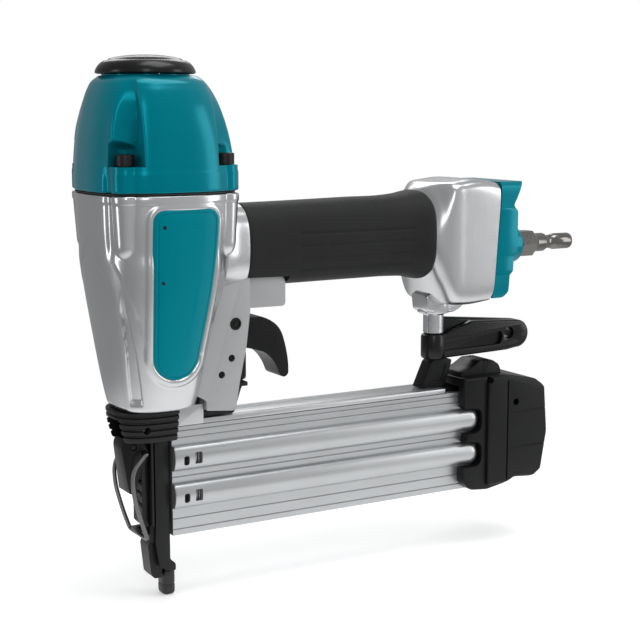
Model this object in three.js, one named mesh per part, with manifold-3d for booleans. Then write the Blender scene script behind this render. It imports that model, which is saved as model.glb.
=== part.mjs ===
// A pneumatic 18-gauge brad nailer, in millimetres.
// +Z runs along the drive axis away from the work, +X runs back along the handle, Y is across the tool.
// The shapes are drawn about the drive axis. The whole group is then moved so that the origin is the
// middle of the contact foot's face, which is the surface that rests on the work.
import * as THREE from 'three';
import { mergeVertices } from 'three/addons/utils/BufferGeometryUtils.js';
import Module from 'manifold-3d';

const wasm = await Module();
wasm.setup();

// ---- Driving dimensions ----
const GAP = 0.3; // clearance between pieces that touch
const FOOT_X = 5.6; // the contact foot, behind the drive axis
const GUIDE_TIP = 9; // lower end of the driver guide
const COLLAR_BOTTOM = 79.8; // underside of the nose collar
const BARREL_BOTTOM = 86.8; // underside of the housing
const FLOOR_TOP = 100; // inside floor of the barrel
const SEAM = 179.2; // top of the housing, where the cap starts
const CAP_BOTTOM = 180.4;
const CAP_TOP = 228;
const TOOL_TOP = 236.7; // top of the exhaust deflector
const FLANGE_TOP = 191; // floor of the cap's bolt pockets
const CAVITY_TOP = 216; // inside top of the cap
const SLEEVE_TOP = 182;
const SLEEVE_OUTER = 17.2;
const SLEEVE_BORE = 15; // radius of the cylinder bore
const PISTON = 175; // underside of the piston at the top of its stroke
const BLADE_TIP = 80;
const VALVE_RIM = 19; // radius of the head valve
const AIR_BORE = 19.6; // radius of the air space round the sleeve
const BOLT_X = [-19, 26];
const BOLT_Y = 22;
const BOLT_HOLE = 2.1;
const POCKET = 4.7;
const DEFLECTOR = 21.2; // radius of the exhaust deflector
const HANDLE_Z = 154.6; // centre line of the handle
const TUBE = { high: 15, half: 13 }; // outside of the handle tube, half height and half width
const HANDLE_BORE = 10.5;
const GRIP_START = 41;
const GRIP_END = 137;
const BELL_END = 172.3; // rear face of the housing
const BELL_WALL = 3;
const HALF_WEB = 12; // half thickness of the trigger web
const HALF_SLOT = 8.3; // half width of the slot inside the web
const TRIGGER_PIN = [35.4, 121];
const WEB_PINS = [[33.3, 105.9], [28.4, 98.9]];
const VALVE_X = 47; // trigger valve, and the pad that the trigger pushes it with
const HALF_GUIDE = 5.4; // half width of the driver guide
const ARM = { inner: 5.8, outer: 7.8 }; // the contact arm's side plates, from the middle plane
const ARM_RUN = [80.2, 82.8]; // height of the contact arm's rearward run
const WHEEL = { x: 41, radius: 4.8, bottom: 94, top: 107 };
const RAIL = { start: 5, end: 150, top: 79.8, strip: 77.6, foot: 33 };
const COVER = { start: 5.3, end: 168, bottom: 28.7, top: 77.3, half: 9, inner: 5.6 };
const RIDGES = [63.4, 46.6]; // heights of the cover's two ridges
const RIDGE = { half: 5.8, proud: 4 };
const END_CAP = { start: 157.5, end: 208, half: 16.5, wall: 3 };
const POST_X = 148.6; // the belt hook's post
const HOOK = { bottom: 93.7, top: 113.6, hub: 6, pivot: 3.8, hubTop: 106 };
const HOOK_END = { x: 197, z: 102.5, radius: 7 }; // the rounded end of the belt hook
const HOOK_HOLE = [191.4, 103.4];
const PLUG_Z = 147.5;
const PLUG_END = 231.6;
const LEVER_PIN = [-11.5, 70];
const DOOR_PIN = [-8.2, 78.4];
const BAIL_PIN = [-6.6, 67];
const BAIL_BAR = [-7.2, 29.3];

// ---- Colours and finishes ----
const finish = (color, roughness, metalness) =>
  new THREE.MeshStandardMaterial({ color, roughness, metalness });
const FINISH = {
  teal: finish(0x007f8c, 0.3, 0.1),
  silver: finish(0xc4c8cb, 0.3, 0.8),
  aluminium: finish(0xb4b8bb, 0.4, 0.9),
  rubber: finish(0x222423, 0.85, 0),
  black: finish(0x1c1d1e, 0.5, 0.1),
  blackSteel: finish(0x26282a, 0.4, 0.8),
  steel: finish(0x9a9c9e, 0.3, 1),
  chrome: finish(0xd8dadc, 0.12, 1),
  brass: finish(0xb08d3c, 0.35, 1),
};

// ---- Booleans ----
function solid(geometry) {
  const bare = geometry.clone();
  bare.deleteAttribute('normal');
  bare.deleteAttribute('uv');
  const merged = mergeVertices(bare, 1e-4);
  const index = merged.index ? merged.index.array : [...Array(merged.attributes.position.count).keys()];
  return new wasm.Manifold(new wasm.Mesh({
    numProp: 3,
    vertProperties: new Float32Array(merged.attributes.position.array),
    triVerts: new Uint32Array(index),
  }));
}

function geometryOf(manifold) {
  const mesh = manifold.getMesh();
  const geometry = new THREE.BufferGeometry();
  geometry.setAttribute('position', new THREE.BufferAttribute(new Float32Array(mesh.vertProperties), 3));
  geometry.setIndex(new THREE.BufferAttribute(new Uint32Array(mesh.triVerts), 1));
  geometry.computeVertexNormals();
  return geometry;
}

function join(...pieces) {
  return geometryOf(pieces.map(solid).reduce((a, b) => a.add(b)));
}

function cut(base, ...tools) {
  return geometryOf(tools.map(solid).reduce((a, b) => a.subtract(b), solid(base)));
}

function common(...pieces) {
  return geometryOf(pieces.map(solid).reduce((a, b) => a.intersect(b)));
}

// ---- Basic solids, placed by their limits ----
function box(x, y, z) {
  const size = [x[1] - x[0], y[1] - y[0], z[1] - z[0]];
  const geometry = new THREE.BoxGeometry(...size);
  return geometry.translate((x[0] + x[1]) / 2, (y[0] + y[1]) / 2, (z[0] + z[1]) / 2);
}

function rodZ(x, y, radius, z0, z1, sides = 16) {
  const rod = new THREE.CylinderGeometry(radius, radius, z1 - z0, sides);
  return rod.rotateX(Math.PI / 2).translate(x, y, (z0 + z1) / 2);
}

function rodX(z, radius, x0, x1, sides = 16) {
  const rod = new THREE.CylinderGeometry(radius, radius, x1 - x0, sides);
  return rod.rotateZ(-Math.PI / 2).translate((x0 + x1) / 2, 0, z);
}

function rodY(at, radius, y0, y1, sides = 12) {
  const rod = new THREE.CylinderGeometry(radius, radius, y1 - y0, sides);
  return rod.translate(at[0], (y0 + y1) / 2, at[1]);
}

// The limits in Y of a piece that runs from one distance to another on the left (-1) or right (1) side.
function fromMiddle(side, near, far) {
  return side > 0 ? [near, far] : [-far, -near];
}

function shape(points) {
  return new THREE.Shape(points.map(([a, b]) => new THREE.Vector2(a, b)));
}

// An outline in X and Z, drawn out along Y.
function plateY(outline, y0, y1, curveSegments = 4) {
  const flat = outline instanceof THREE.Shape ? outline : shape(outline);
  const plate = new THREE.ExtrudeGeometry(flat, { depth: y1 - y0, bevelEnabled: false, curveSegments });
  return plate.rotateX(Math.PI / 2).translate(0, y1, 0);
}

// An outline in Y and Z, drawn out along X.
function barX(outline, x0, x1, curveSegments = 4) {
  const flat = outline instanceof THREE.Shape ? outline : shape(outline);
  const bar = new THREE.ExtrudeGeometry(flat, { depth: x1 - x0, bevelEnabled: false, curveSegments });
  const turn = new THREE.Matrix4().makeBasis(
    new THREE.Vector3(0, 1, 0), new THREE.Vector3(0, 0, 1), new THREE.Vector3(1, 0, 0));
  return bar.applyMatrix4(turn).translate(x0, 0, 0);
}

// An outline in X and Y, drawn out along Z.
function slabZ(outline, z0, z1, curveSegments = 4) {
  const flat = outline instanceof THREE.Shape ? outline : shape(outline);
  const slab = new THREE.ExtrudeGeometry(flat, { depth: z1 - z0, bevelEnabled: false, curveSegments });
  return slab.translate(0, 0, z0);
}

// A profile of radius and height, turned about the vertical axis through (x, 0).
function turned(profile, x = 0, sides = 20) {
  const points = profile.map(([radius, height]) => new THREE.Vector2(radius, height));
  return new THREE.LatheGeometry(points, sides).rotateX(Math.PI / 2).translate(x, 0, 0);
}

function ring(x, inner, outer, z0, z1, sides = 20) {
  return turned([[inner, z0], [outer, z0], [outer, z1], [inner, z1], [inner, z0]], x, sides);
}

function roundedBox(halfWidth, low, high, radius) {
  const outline = new THREE.Shape();
  outline.absarc(halfWidth - radius, high - radius, radius, 0, Math.PI / 2);
  outline.absarc(radius - halfWidth, high - radius, radius, Math.PI / 2, Math.PI);
  outline.absarc(radius - halfWidth, low + radius, radius, Math.PI, 1.5 * Math.PI);
  outline.absarc(halfWidth - radius, low + radius, radius, 1.5 * Math.PI, 2 * Math.PI);
  return outline;
}

// Rings of a squared circle, joined into one closed skin. Each ring is
// [station, centre, back, front, half]:
// how far it reaches below and above its centre along the first direction, and its half width in Y.
function loft(rings, along, sides = 28, squareness = 2.6) {
  const skin = new THREE.CylinderGeometry(1, 1, 1, sides, rings.length - 1);
  const points = skin.attributes.position;
  const bend = (t) => Math.sign(t) * Math.abs(t) ** (2 / squareness);
  for (let i = 0; i < points.count; i++) {
    const level = Math.round((0.5 - points.getY(i)) * (rings.length - 1));
    const [station, centre, low, high, half] = rings[level];
    const across = bend(points.getX(i));
    const u = centre + across * (across > 0 ? high : low);
    const v = bend(points.getZ(i)) * half;
    if (along === 'z') points.setXYZ(i, u, v, station);
    else points.setXYZ(i, station, -v, u);
  }
  return skin;
}

function tube(points, radius, steps, sides = 5) {
  const path = new THREE.CatmullRomCurve3(points.map((p) => new THREE.Vector3(...p)), false, 'centripetal');
  const section = shape([...Array(sides).keys()].map((i) => {
    const turn = (2 * Math.PI * i) / sides;
    return [radius * Math.cos(turn), radius * Math.sin(turn)];
  }));
  return new THREE.ExtrudeGeometry(section, { steps, extrudePath: path, bevelEnabled: false });
}

function coil(x, radius, wire, z0, z1, turns) {
  const perTurn = 8;
  const points = [];
  for (let i = 0; i <= turns * perTurn; i++) {
    const turn = (2 * Math.PI * i) / perTurn;
    const height = z0 + wire + ((z1 - z0 - 2 * wire) * i) / (turns * perTurn);
    points.push([x + radius * Math.cos(turn), radius * Math.sin(turn), height]);
  }
  return tube(points, wire, turns * perTurn, 4);
}

// ---- Head ----
// The barrel's outside: height, centre, reach to the front, reach to the rear, half width.
const BARREL = [
  [BARREL_BOTTOM, 0, 18, 17.5, 19.4], [96.7, 0, 20, 20, 21.8], [106.5, 0, 21.6, 22, 23.8],
  [116, 0, 23, 24, 25.6], [126, 0, 24.5, 26.5, 27.3], [136, 0, 25.9, 29, 29], [145, 0, 27, 31, 30.2],
  [155, 0, 28, 33, 31.3], [164, 0, 28.7, 35, 32.1], [SEAM, 0, 29, 36.6, 32.5],
];
const CAP = [
  [CAP_BOTTOM, 0, 29, 36.6, 32.5], [FLANGE_TOP, 0, 28.8, 36, 32.3], [201, 0, 27.7, 34.2, 31.3],
  [210, 0, 26.3, 31.8, 29.5], [218, 0, 24.8, 29, 27.2], [224, 0, 23, 26, 24.5],
    [CAP_TOP, 0, 20.6, 22.4, 21.4],
];

function boltHoles(radius, z0, z1) {
  return BOLT_X.flatMap((x) => [-BOLT_Y, BOLT_Y].map((y) => rodZ(x, y, radius, z0, z1, 10)));
}

function cylinderCap() {
  const cavity = turned([[0, CAP_BOTTOM - 1], [AIR_BORE, CAP_BOTTOM - 1], [AIR_BORE, CAVITY_TOP - 4],
    [16, CAVITY_TOP], [0, CAVITY_TOP]]);
  const exhaust = rodZ(0, 0, 6, CAVITY_TOP - 1, CAP_TOP + 1);
  return cut(loft(CAP, 'z'), cavity, exhaust, ...boltHoles(POCKET, FLANGE_TOP, CAP_TOP + 1),
    ...boltHoles(BOLT_HOLE + GAP, CAP_BOTTOM - 1, FLANGE_TOP + 1));
}

function capGasket() {
  const rim = [[SEAM + GAP, 0, 28.6, 36.2, 32.1], [CAP_BOTTOM - GAP, 0, 28.6, 36.2, 32.1]];
  return cut(loft(rim, 'z'), rodZ(0, 0, AIR_BORE, SEAM - 1, CAP_BOTTOM + 1),
    ...boltHoles(BOLT_HOLE + GAP, SEAM - 1, CAP_BOTTOM + 1));
}

function exhaustDeflector() {
  const edge = CAP_TOP + 0.4;
  return turned([[6.4, edge + 4.5], [DEFLECTOR - 2, edge + 0.6], [DEFLECTOR, edge + 0.8],
    [DEFLECTOR - 0.5, edge + 3],
    [17, TOOL_TOP - 1.8], [9, TOOL_TOP - 0.4], [3.9, TOOL_TOP], [3.9, edge + 4.5], [6.4, edge + 4.5]]);
}

function deflectorScrew() {
  const head = rodZ(0, 0, 3.5, 233.4, TOOL_TOP - 0.3);
  const socket = rodZ(0, 0, 1.7, 235, TOOL_TOP, 6);
  return cut(join(head, rodZ(0, 0, 2.6, 226, 233.5), rodZ(0, 0, 5.6, 227, 232)), socket);
}

function capBolt(x, y) {
  const head = rodZ(x, y, 4, FLANGE_TOP + GAP, FLANGE_TOP + 5, 12);
  const shank = rodZ(x, y, BOLT_HOLE, 168, FLANGE_TOP + 1, 8);
  return cut(join(head, shank), rodZ(x, y, 2.3, FLANGE_TOP + 2.6, FLANGE_TOP + 6, 6));
}

function inlayOutline(grow) {
  const outline = new THREE.Shape();
  outline.moveTo(-9.5 - grow, 112);
  outline.quadraticCurveTo(-11.5 - grow, 150, -11 - grow, 168.5);
  outline.absarc(-6, 168.5, 5 + grow, Math.PI, Math.PI / 2, true);
  outline.absarc(14.5, 168.5, 5 + grow, Math.PI / 2, 0, true);
  outline.quadraticCurveTo(19.5 + grow, 145, 13.5 + grow, 112);
  outline.absarc(2, 112, 11.5 + grow, 0, -Math.PI, true);
  return outline;
}

// The part of the outline's prism that lies outside the barrel, taken in by a depth, on one side.
function inlayPrism(side, grow, depth) {
  const y = side > 0 ? [12, 36] : [-36, -12];
  const inner = BARREL.map(([z, c, front, rear, half]) => [z, c, front - depth / 3, rear - depth / 3,
    half - depth]);
  return cut(plateY(inlayOutline(grow), ...y), loft(inner, 'z'));
}

function sideInlay(side) {
  const outer = BARREL.map(([z, c, front, rear, half]) => [z, c, front + 1, rear + 1, half + 0.6]);
  return common(loft(outer, 'z'), inlayPrism(side, 0, 0.9));
}

// ---- Housing ----
function bell(shrink, x1) {
  const outline = [[137.4, 134], [138.4, 128.5], [146, 122.8], [158, 121.4], [x1, 123], [x1, 179.6],
    [158, 181.2], [146, 180], [137.4, 176.4]];
  const plan = [[137.4, -18], [145.5, -22], [x1, -22], [x1, 22], [145.5, 22], [137.4, 18]];
  const side = plateY(outline, -30, 30);
  const top = slabZ(plan, 100, 200);
  const section = barX(roundedBox(22, 121, 181.4, 7), 130, x1, 5);
  const whole = common(side, top, section);
  if (!shrink) return whole;
  return common(whole, box([137.4 + shrink, x1], [shrink - 22, 22 - shrink],
    [121.4 + shrink, 181.2 - shrink]));
}

function web() {
  const outline = [[18, 91], [20.8, 88], [20.8, 83.6], [35.2, 82.2], [37.3, 94.8], [40.7, 110],
    [42.8, 126.8],
    [62, 126.8], [62, 141], [38, 141], [38, 168], [18, 168]];
  const block = plateY(outline, -HALF_WEB, HALF_WEB);
  const shoulder = box([43.2, 70], [-20, 20], [120, 145]);
  return cut(block, cut(shoulder, box([40, 70], [-9, 9], [110, 145])));
}

function hookBoss() {
  const post = rodZ(POST_X, 0, 5, HOOK.hubTop + GAP, 118);
  const slope = plateY([[139.6, 126], [140.6, 117.4], [156, 116.6], [162, 119.4], [164, 126]], -7, 7);
  return join(slope, rodZ(POST_X, 0, 8, 116.4, 121), post);
}

function housing() {
  const neck = loft([[12, HANDLE_Z, 22, 22.5, 24], [30, HANDLE_Z, 20.5, 20.5, 19.5],
    [GRIP_START - GAP, HANDLE_Z, 18.5, 18.5, 16]], 'x', 24);
  const handle = loft([[30, HANDLE_Z, TUBE.high, TUBE.high, TUBE.half],
    [140, HANDLE_Z + 0.6, TUBE.high, TUBE.high, TUBE.half]], 'x', 24);
  const outside = join(loft(BARREL, 'z'), neck, handle, bell(0, BELL_END), web(), hookBoss());
  const armSlots = [-1, 1].map((side) =>
    box([-2.8, 26], fromMiddle(side, ARM.inner - 0.4, ARM.outer + 0.4), [80, 90.4]));
  const recesses = [-1, 1].map((side) => inlayPrism(side, GAP, 0.9 + GAP));
  return cut(outside,
    rodZ(0, 0, AIR_BORE, 112, SEAM + 1, 20),
    rodZ(0, 0, SLEEVE_OUTER + GAP, FLOOR_TOP, 113, 20),
    rodZ(0, 0, 5, 80, FLOOR_TOP + 1, 12),
    ...boltHoles(BOLT_HOLE + GAP, 166, SEAM + 1),
    rodX(HANDLE_Z, HANDLE_BORE, 10, 150, 12),
    bell(BELL_WALL, BELL_END + 1),
    box([24, 60], [-HALF_SLOT, HALF_SLOT], [80, 127]),
    box([24, 42], [-HALF_SLOT, HALF_SLOT], [126, 129]),
    rodZ(VALVE_X, 0, 6, 120, 146),
    rodY(TRIGGER_PIN, 2.5 + GAP, -20, 20),
    ...WEB_PINS.map((pin) => rodY(pin, 1.3 + GAP, -20, 20, 12)),
    rodZ(POST_X, 0, 2.2 + GAP, 100, 122, 12),
    ...armSlots, ...recesses);
}

// ---- Drive ----
function cylinderSleeve() {
  const ports = [0, 1, 2, 3].map((i) => {
    const turn = Math.PI / 4 + (i * Math.PI) / 2;
    return rodZ(0, 0, 1.5, 0, 50, 6).rotateX(-Math.PI / 2).translate(0, 0, 126).rotateZ(turn);
  });
  return cut(ring(0, SLEEVE_BORE, SLEEVE_OUTER, FLOOR_TOP + GAP, SLEEVE_TOP), ...ports);
}

// The piston's profile, with a groove for its ring.
function piston() {
  const rim = SLEEVE_BORE - GAP;
  return turned([[0, PISTON], [11, PISTON], [rim, PISTON + 2], [rim, PISTON + 3.6], [13, PISTON + 3.6],
    [13, PISTON + 6], [rim, PISTON + 6], [rim, PISTON + 8], [9, PISTON + 8], [8, PISTON + 6.5],
    [0, PISTON + 6.5]]);
}

function pistonRing() {
  return ring(0, 13.2, SLEEVE_BORE - 0.2, PISTON + 3.8, PISTON + 5.8);
}

function driverBlade() {
  return box([-0.7, 0.7], [-1.6, 1.6], [BLADE_TIP, PISTON - GAP]);
}

function bumper() {
  const base = FLOOR_TOP + 0.6;
  return turned([[5, base], [14.4, base], [13, base + 4], [7, base + 4], [5, base]]);
}

function headValve() {
  const floor = SLEEVE_TOP + 4;
  return turned([[4, floor], [SLEEVE_OUTER - 0.5, floor], [VALVE_RIM, floor + 2], [VALVE_RIM, floor + 16],
    [17, floor + 16], [17, floor + 4], [4, floor + 4], [4, floor]]);
}

function headValveSeal() {
  return ring(0, SLEEVE_BORE, SLEEVE_OUTER - 0.5, SLEEVE_TOP + GAP, SLEEVE_TOP + 3.7);
}

function headValveSpring() {
  return coil(0, 12, 0.8, SLEEVE_TOP + 8.4, CAVITY_TOP - GAP, 5);
}

// ---- Trigger ----
function trigger() {
  const hook = new THREE.Shape();
  hook.moveTo(31.5, 119);
  hook.absarc(TRIGGER_PIN[0], TRIGGER_PIN[1], 4.6, 1.15 * Math.PI, 0.35 * Math.PI, true);
  hook.lineTo(44.5, 122.4);
  hook.lineTo(51, 122.4);
  hook.quadraticCurveTo(59.5, 119.5, 61.5, 113);
  hook.quadraticCurveTo(64.4, 104, 64.3, 97);
  hook.absarc(62, 96.4, 2.3, 0, -0.9 * Math.PI, true);
  hook.quadraticCurveTo(57, 103.5, 51.5, 106.5);
  hook.quadraticCurveTo(47, 108, 43.3, 108.9);
  const body = cut(plateY(hook, -7.2, 7.2), rodY(TRIGGER_PIN, 2.5 + GAP, -20, 20));
  return cut(body, box([30, 46.1], [-5.3, 5.3], [100, 128]));
}

function triggerSpring() {
  const wrap = [];
  for (let i = 0; i <= 20; i++) {
    const turn = (2 * Math.PI * i) / 10;
    wrap.push([TRIGGER_PIN[0] + 3.7 * Math.cos(turn), -1.5 + 0.15 * i,
      TRIGGER_PIN[1] + 3.7 * Math.sin(turn)]);
  }
  return tube([[TRIGGER_PIN[0] + 3.7, -1.5, 117], ...wrap], 0.5, 44, 5);
}

function valveBody() {
  return ring(VALVE_X, 1.9, 5.7, 127.4, 142, 16);
}

function valveStem() {
  return turned([[0, 122.9], [1.5, 122.9], [1.5, 142.4], [3, 142.8], [3, 143.6], [0, 143.6]], VALVE_X, 10);
}

// ---- Nose ----
function noseCollar() {
  const rings = [[72.4, 0, 17, 13.4, 13.6], [76, 0, 18, 14.6, 14.6], [COLLAR_BOTTOM, 0, 19, 15.4, 15.4],
    [86.4, 0, 19.6, 16.6, 16.6]];
  const collar = common(loft(rings, 'z'), box([-22, 6.2], [-20, 20], [70, 90]));
  const arms = [-1, 1].map((side) => box([-2.8, 8], fromMiddle(side, ARM.inner - 0.4, ARM.outer + 0.4),
    [70, 90]));
  const frontOpening = box([-24, -4], [-7.1, 7.1], [70, 82.8]);
  const railOpening = box([-3, 8], [-9.2, 9.2], [70, COLLAR_BOTTOM]);
  const guideSeat = box([-4.2, 8], [-HALF_GUIDE - GAP, HALF_GUIDE + GAP], [70, 90]);
  return cut(collar, ...arms, rodY(DOOR_PIN, 1.3 + GAP, -20, 20, 12), guideSeat, frontOpening, railOpening);
}

function driverGuide() {
  const middle = plateY([[-3.9, 85.9], [-3.9, 27], [-4.8, 24], [-3.4, GUIDE_TIP + 2], [-1.8, GUIDE_TIP],
    [1.6, GUIDE_TIP], [1.7, 31.6], [4.6, 31.6], [4.6, 79.2], [0.9, 79.2], [0.9, 85.9]],
    -HALF_GUIDE, HALF_GUIDE);
  const flange = box([-4, -3], [-8, 8], [34, 72]);
  const lug = plateY([[-9.4, 30.6], [-9.4, 32.4], [-3.8, 32.6], [-3.8, 28.5], [-5.8, 30.6]], -3.5, 3.5);
  const sides = [-1, 1].map((side) => box([-10, 6], fromMiddle(side, 4.4, 12), [0, 26]));
  const channel = box([-5, 0.95], [-1.9, 1.9], [0, 90]);
  return cut(join(cut(join(middle, lug), ...sides), flange), cut(channel, box([-5, -2], [-3, 3],
    [0, 32.9])));
}

function noseDoor() {
  const plate = new THREE.Shape();
  plate.moveTo(-4.3, 33.3);
  plate.lineTo(-4.3, 76);
  plate.lineTo(-5.6, 78.4);
  plate.absarc(DOOR_PIN[0], DOOR_PIN[1], 2.7, 0, Math.PI, false);
  plate.lineTo(-7.4, 74);
  plate.lineTo(-7.4, 35);
  plate.lineTo(-6, 33.3);
  const ears = plateY([[-7, 66.5], [-7, 73.2], [-10, 72.9], [-13.6, 70.8], [-13.4, 68.4], [-10, 67]],
    -4.4, 4.4);
  const body = join(plateY(plate, -5, 5), ears);
  return cut(body, rodY(DOOR_PIN, 1.3 + GAP, -20, 20, 12), rodY(LEVER_PIN, 1.2 + GAP, -20, 20, 12),
    box([-20, -7.4], [-2.6, 2.6], [64, 76]));
}

function latchLever() {
  const outline = new THREE.Shape();
  outline.moveTo(-13.6, 49.6);
  outline.lineTo(-16.4, 69.5);
  outline.absarc(LEVER_PIN[0], LEVER_PIN[1], 4.9, Math.PI, 0.1 * Math.PI, true);
  outline.lineTo(-4.8, 68);
  outline.lineTo(-4.8, 64.6);
  outline.lineTo(-9, 58);
  outline.lineTo(-10.6, 48.6);
  const plan = [[0, -6.7], [-12.6, -6.7], [-17, -4.4], [-17, 4.4], [-12.6, 6.7], [0, 6.7]];
  const body = common(plateY(outline, -8, 8), slabZ(plan, 40, 80));
  const inside = plateY([[-11.6, 40], [-14.7, 67], [-14.9, 77], [0, 77], [0, 40]], -5.2, 5.2);
  return cut(body, inside, rodY(LEVER_PIN, 1.2 + GAP, -20, 20, 12), rodY(BAIL_PIN, 1 + GAP, -20, 20, 12));
}

function latchBail() {
  const leg = [[BAIL_PIN[0], 5.4, BAIL_PIN[1]], [BAIL_PIN[0], 9.2, BAIL_PIN[1]], [-8.2, 10.5, 66.6],
    [-13.2, 10.6, 60], [-13.4, 10.6, 51], [-11.2, 10.5, 41.5], [-8.2, 10.2, 32]];
  const far = leg.map(([x, y, z]) => [x, -y, z]).reverse();
  return tube([...leg, [BAIL_BAR[0], 8.6, BAIL_BAR[1]], [BAIL_BAR[0], 0, BAIL_BAR[1]],
    [BAIL_BAR[0], -8.6, BAIL_BAR[1]], ...far], 0.95, 40);
}

function contactArm() {
  const plate = [[-2.2, 26], [-0.6, 14.6], [6.9, 12.4], [6.9, 15.6], [4.3, 18], [4.3, 78], [5, ARM_RUN[0]],
    [36.2, ARM_RUN[0]], [39.6, 90.4], [41, 93.6], [36, 93.6], [33.6, ARM_RUN[1]], [-2.2, ARM_RUN[1]]];
  const sides = [-1, 1].map((side) => plateY(plate, ...fromMiddle(side, ARM.inner, ARM.outer)));
  const toe = box([2.1, 4.3], [-6.5, 6.5], [15.4, 23.5]);
  const sole = box([2.4, 6.9], [-6.5, 6.5], [12.4, 15.6]);
  const tongue = box([4, 7.2], [-1.6, 1.6], [3.6, 13.5]);
  const springSeat = box([25.6, 33], [-6.5, 6.5], [ARM_RUN[0], 81.6]);
  const wheelSeat = box([36.2, 44], [-6.5, 6.5], [91.6, 93.6]);
  const stud = rodZ(WHEEL.x, 0, 1.8, 92, 104, 10);
  return join(...sides, toe, sole, tongue, springSeat, wheelSeat, stud);
}

function contactFoot() {
  const outline = new THREE.Shape();
  outline.moveTo(FOOT_X - 1.6, 0);
  outline.lineTo(FOOT_X + 1.6, 0);
  outline.absarc(FOOT_X + 1.6, 1.5, 1.5, -Math.PI / 2, 0, false);
  outline.lineTo(FOOT_X + 3.1, 11.8);
  outline.lineTo(FOOT_X - 3.1, 11.8);
  outline.absarc(FOOT_X - 1.6, 1.5, 1.5, Math.PI, 1.5 * Math.PI, false);
  return cut(plateY(outline, -4, 4), box([3.7, 7.5], [-1.9, 1.9], [3.3, 20]));
}

function armGuide() {
  const block = plateY([[24.6, 89.2], [34.8, 89.2], [36, 94], [36, 111], [24.6, 111]], -5.4, 5.4);
  return cut(block, ...WEB_PINS.map((pin) => rodY(pin, 1.3 + GAP, -20, 20, 12)),
    rodZ(29.6, 0, 3.4, 80, 94.4, 12));
}

function depthWheel() {
  const grip = [...Array(16).keys()].map((i) => {
    const turn = (2 * Math.PI * i) / 16;
    const radius = WHEEL.radius - (i % 2) * 0.5;
    return [WHEEL.x + radius * Math.cos(turn), radius * Math.sin(turn)];
  });
  return cut(slabZ(grip, WHEEL.bottom, WHEEL.top), rodZ(WHEEL.x, 0, 2.1, 90, 104.4, 10));
}

// ---- Magazine ----
function fixedRail() {
  const { strip, top, foot } = RAIL;
  const section = [[-9, strip], [-2, strip], [-2, foot + 3], [-4.8, foot + 3], [-4.8, foot], [4.8, foot],
    [4.8, foot + 3], [2, foot + 3], [2, strip], [9, strip], [9, top], [-9, top]];
  const cheeks = [-1, 1].map((side) => box([7.3, 20.4], fromMiddle(side, 8.4, 9.8),
    [strip, BARREL_BOTTOM - GAP]));
  return join(barX(section, RAIL.start, RAIL.end), ...cheeks);
}

function slidingCover() {
  const { half, inner, bottom, top } = COVER;
  const outline = new THREE.Shape();
  const ridge = (side, height) => {
    const radius = (RIDGE.half ** 2 + RIDGE.proud ** 2) / (2 * RIDGE.proud);
    const swing = Math.asin(RIDGE.half / radius);
    const middle = side * (half + RIDGE.proud - radius);
    const start = side > 0 ? -swing : Math.PI - swing;
    outline.absarc(middle, height, radius, start, start + 2 * swing, false);
  };
  outline.moveTo(-half, bottom);
  outline.lineTo(half, bottom);
  [...RIDGES].reverse().forEach((height) => ridge(1, height));
  outline.lineTo(half, top);
  outline.lineTo(inner, top);
  outline.lineTo(inner, 40);
  outline.lineTo(2.5, 40);
  outline.lineTo(2.5, 37.4);
  outline.lineTo(inner, 37.4);
  outline.lineTo(inner, 31.6);
  outline.lineTo(-inner, 31.6);
  outline.lineTo(-inner, 37.4);
  outline.lineTo(-2.5, 37.4);
  outline.lineTo(-2.5, 40);
  outline.lineTo(-inner, 40);
  outline.lineTo(-inner, top);
  outline.lineTo(-half, top);
  RIDGES.forEach((height) => ridge(-1, height));
  const windows = [-1, 1].flatMap((side) => RIDGES.flatMap((height) => [9.6, 14.8].map((x) =>
    box([x, x + 2.4], fromMiddle(side, 4, 16), [height - 3, height + 1.4]))));
  return cut(barX(outline, COVER.start, COVER.end, 6), ...windows);
}

function magazineEndCap() {
  const { start, end, half, wall } = END_CAP;
  const outline = [[start, 84.6], [start, 74], [start + 3, 58], [start, 50], [start, 33], [162, 28.7],
    [172, 27.8], [183, 29.7], [188, 32], [200, 31], [204.6, 34], [end, 54], [206, 77.5], [201, 81],
    [183, 84.6]];
  const plan = [[start, -half], [end - 4, -half], [end, 4 - half], [end, half - 4], [end - 4, half],
    [start, half]];
  const body = common(plateY(outline, -20, 20), slabZ(plan, 0, 100));
  const inside = box([start - 1, end - wall], [-COVER.half - GAP, COVER.half + GAP],
    [COVER.bottom - 2, 80.2]);
  const floor = box([172, 210], [-20, 20], [20, 31.5]);
  const notches = RIDGES.map((height) =>
    box([start - 1, COVER.end + 0.4], [-20, 20], [height - RIDGE.half - 0.5, height + RIDGE.half + 0.5]));
  const latchWell = box([158.2, 185.4], [-8.4, 8.4], [79, 86]);
  return cut(body, cut(inside, floor), ...notches, latchWell, rodY([172, 83], 1.2 + GAP, -20, 20, 12));
}

function magazineLatch() {
  const outline = [[159, 83], [160.6, 86.6], [166, 88.2], [171.4, 91.4], [178.6, 91.5], [182.6, 89],
    [184.2, 85.6], [182.4, 80.8], [170, 81.2], [161, 82.4], [160.4, 80.2], [159, 80.2]];
  return cut(plateY(outline, -8, 8), rodY([172, 83], 1.2 + GAP, -20, 20, 12));
}

function pusher() {
  return join(box([6, 24], [2.4, 5.2], [44, 72]), box([6, 10], [2.4, 5.2], [41, 74]));
}

function springRoll() {
  return cut(rodY([186, 56], 7, 2.6, 5.2, 16), rodY([186, 56], 3, 0, 8));
}

function springSpool() {
  return join(rodY([186, 56], 2.6, -4, 8.8), rodY([186, 56], 5, -4.4, 2.2, 16));
}

// ---- Rear ----
// Where the heads of the lower and upper screws rest.
function screwSeat(z) {
  return z < 150 ? 175 : 178;
}

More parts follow.
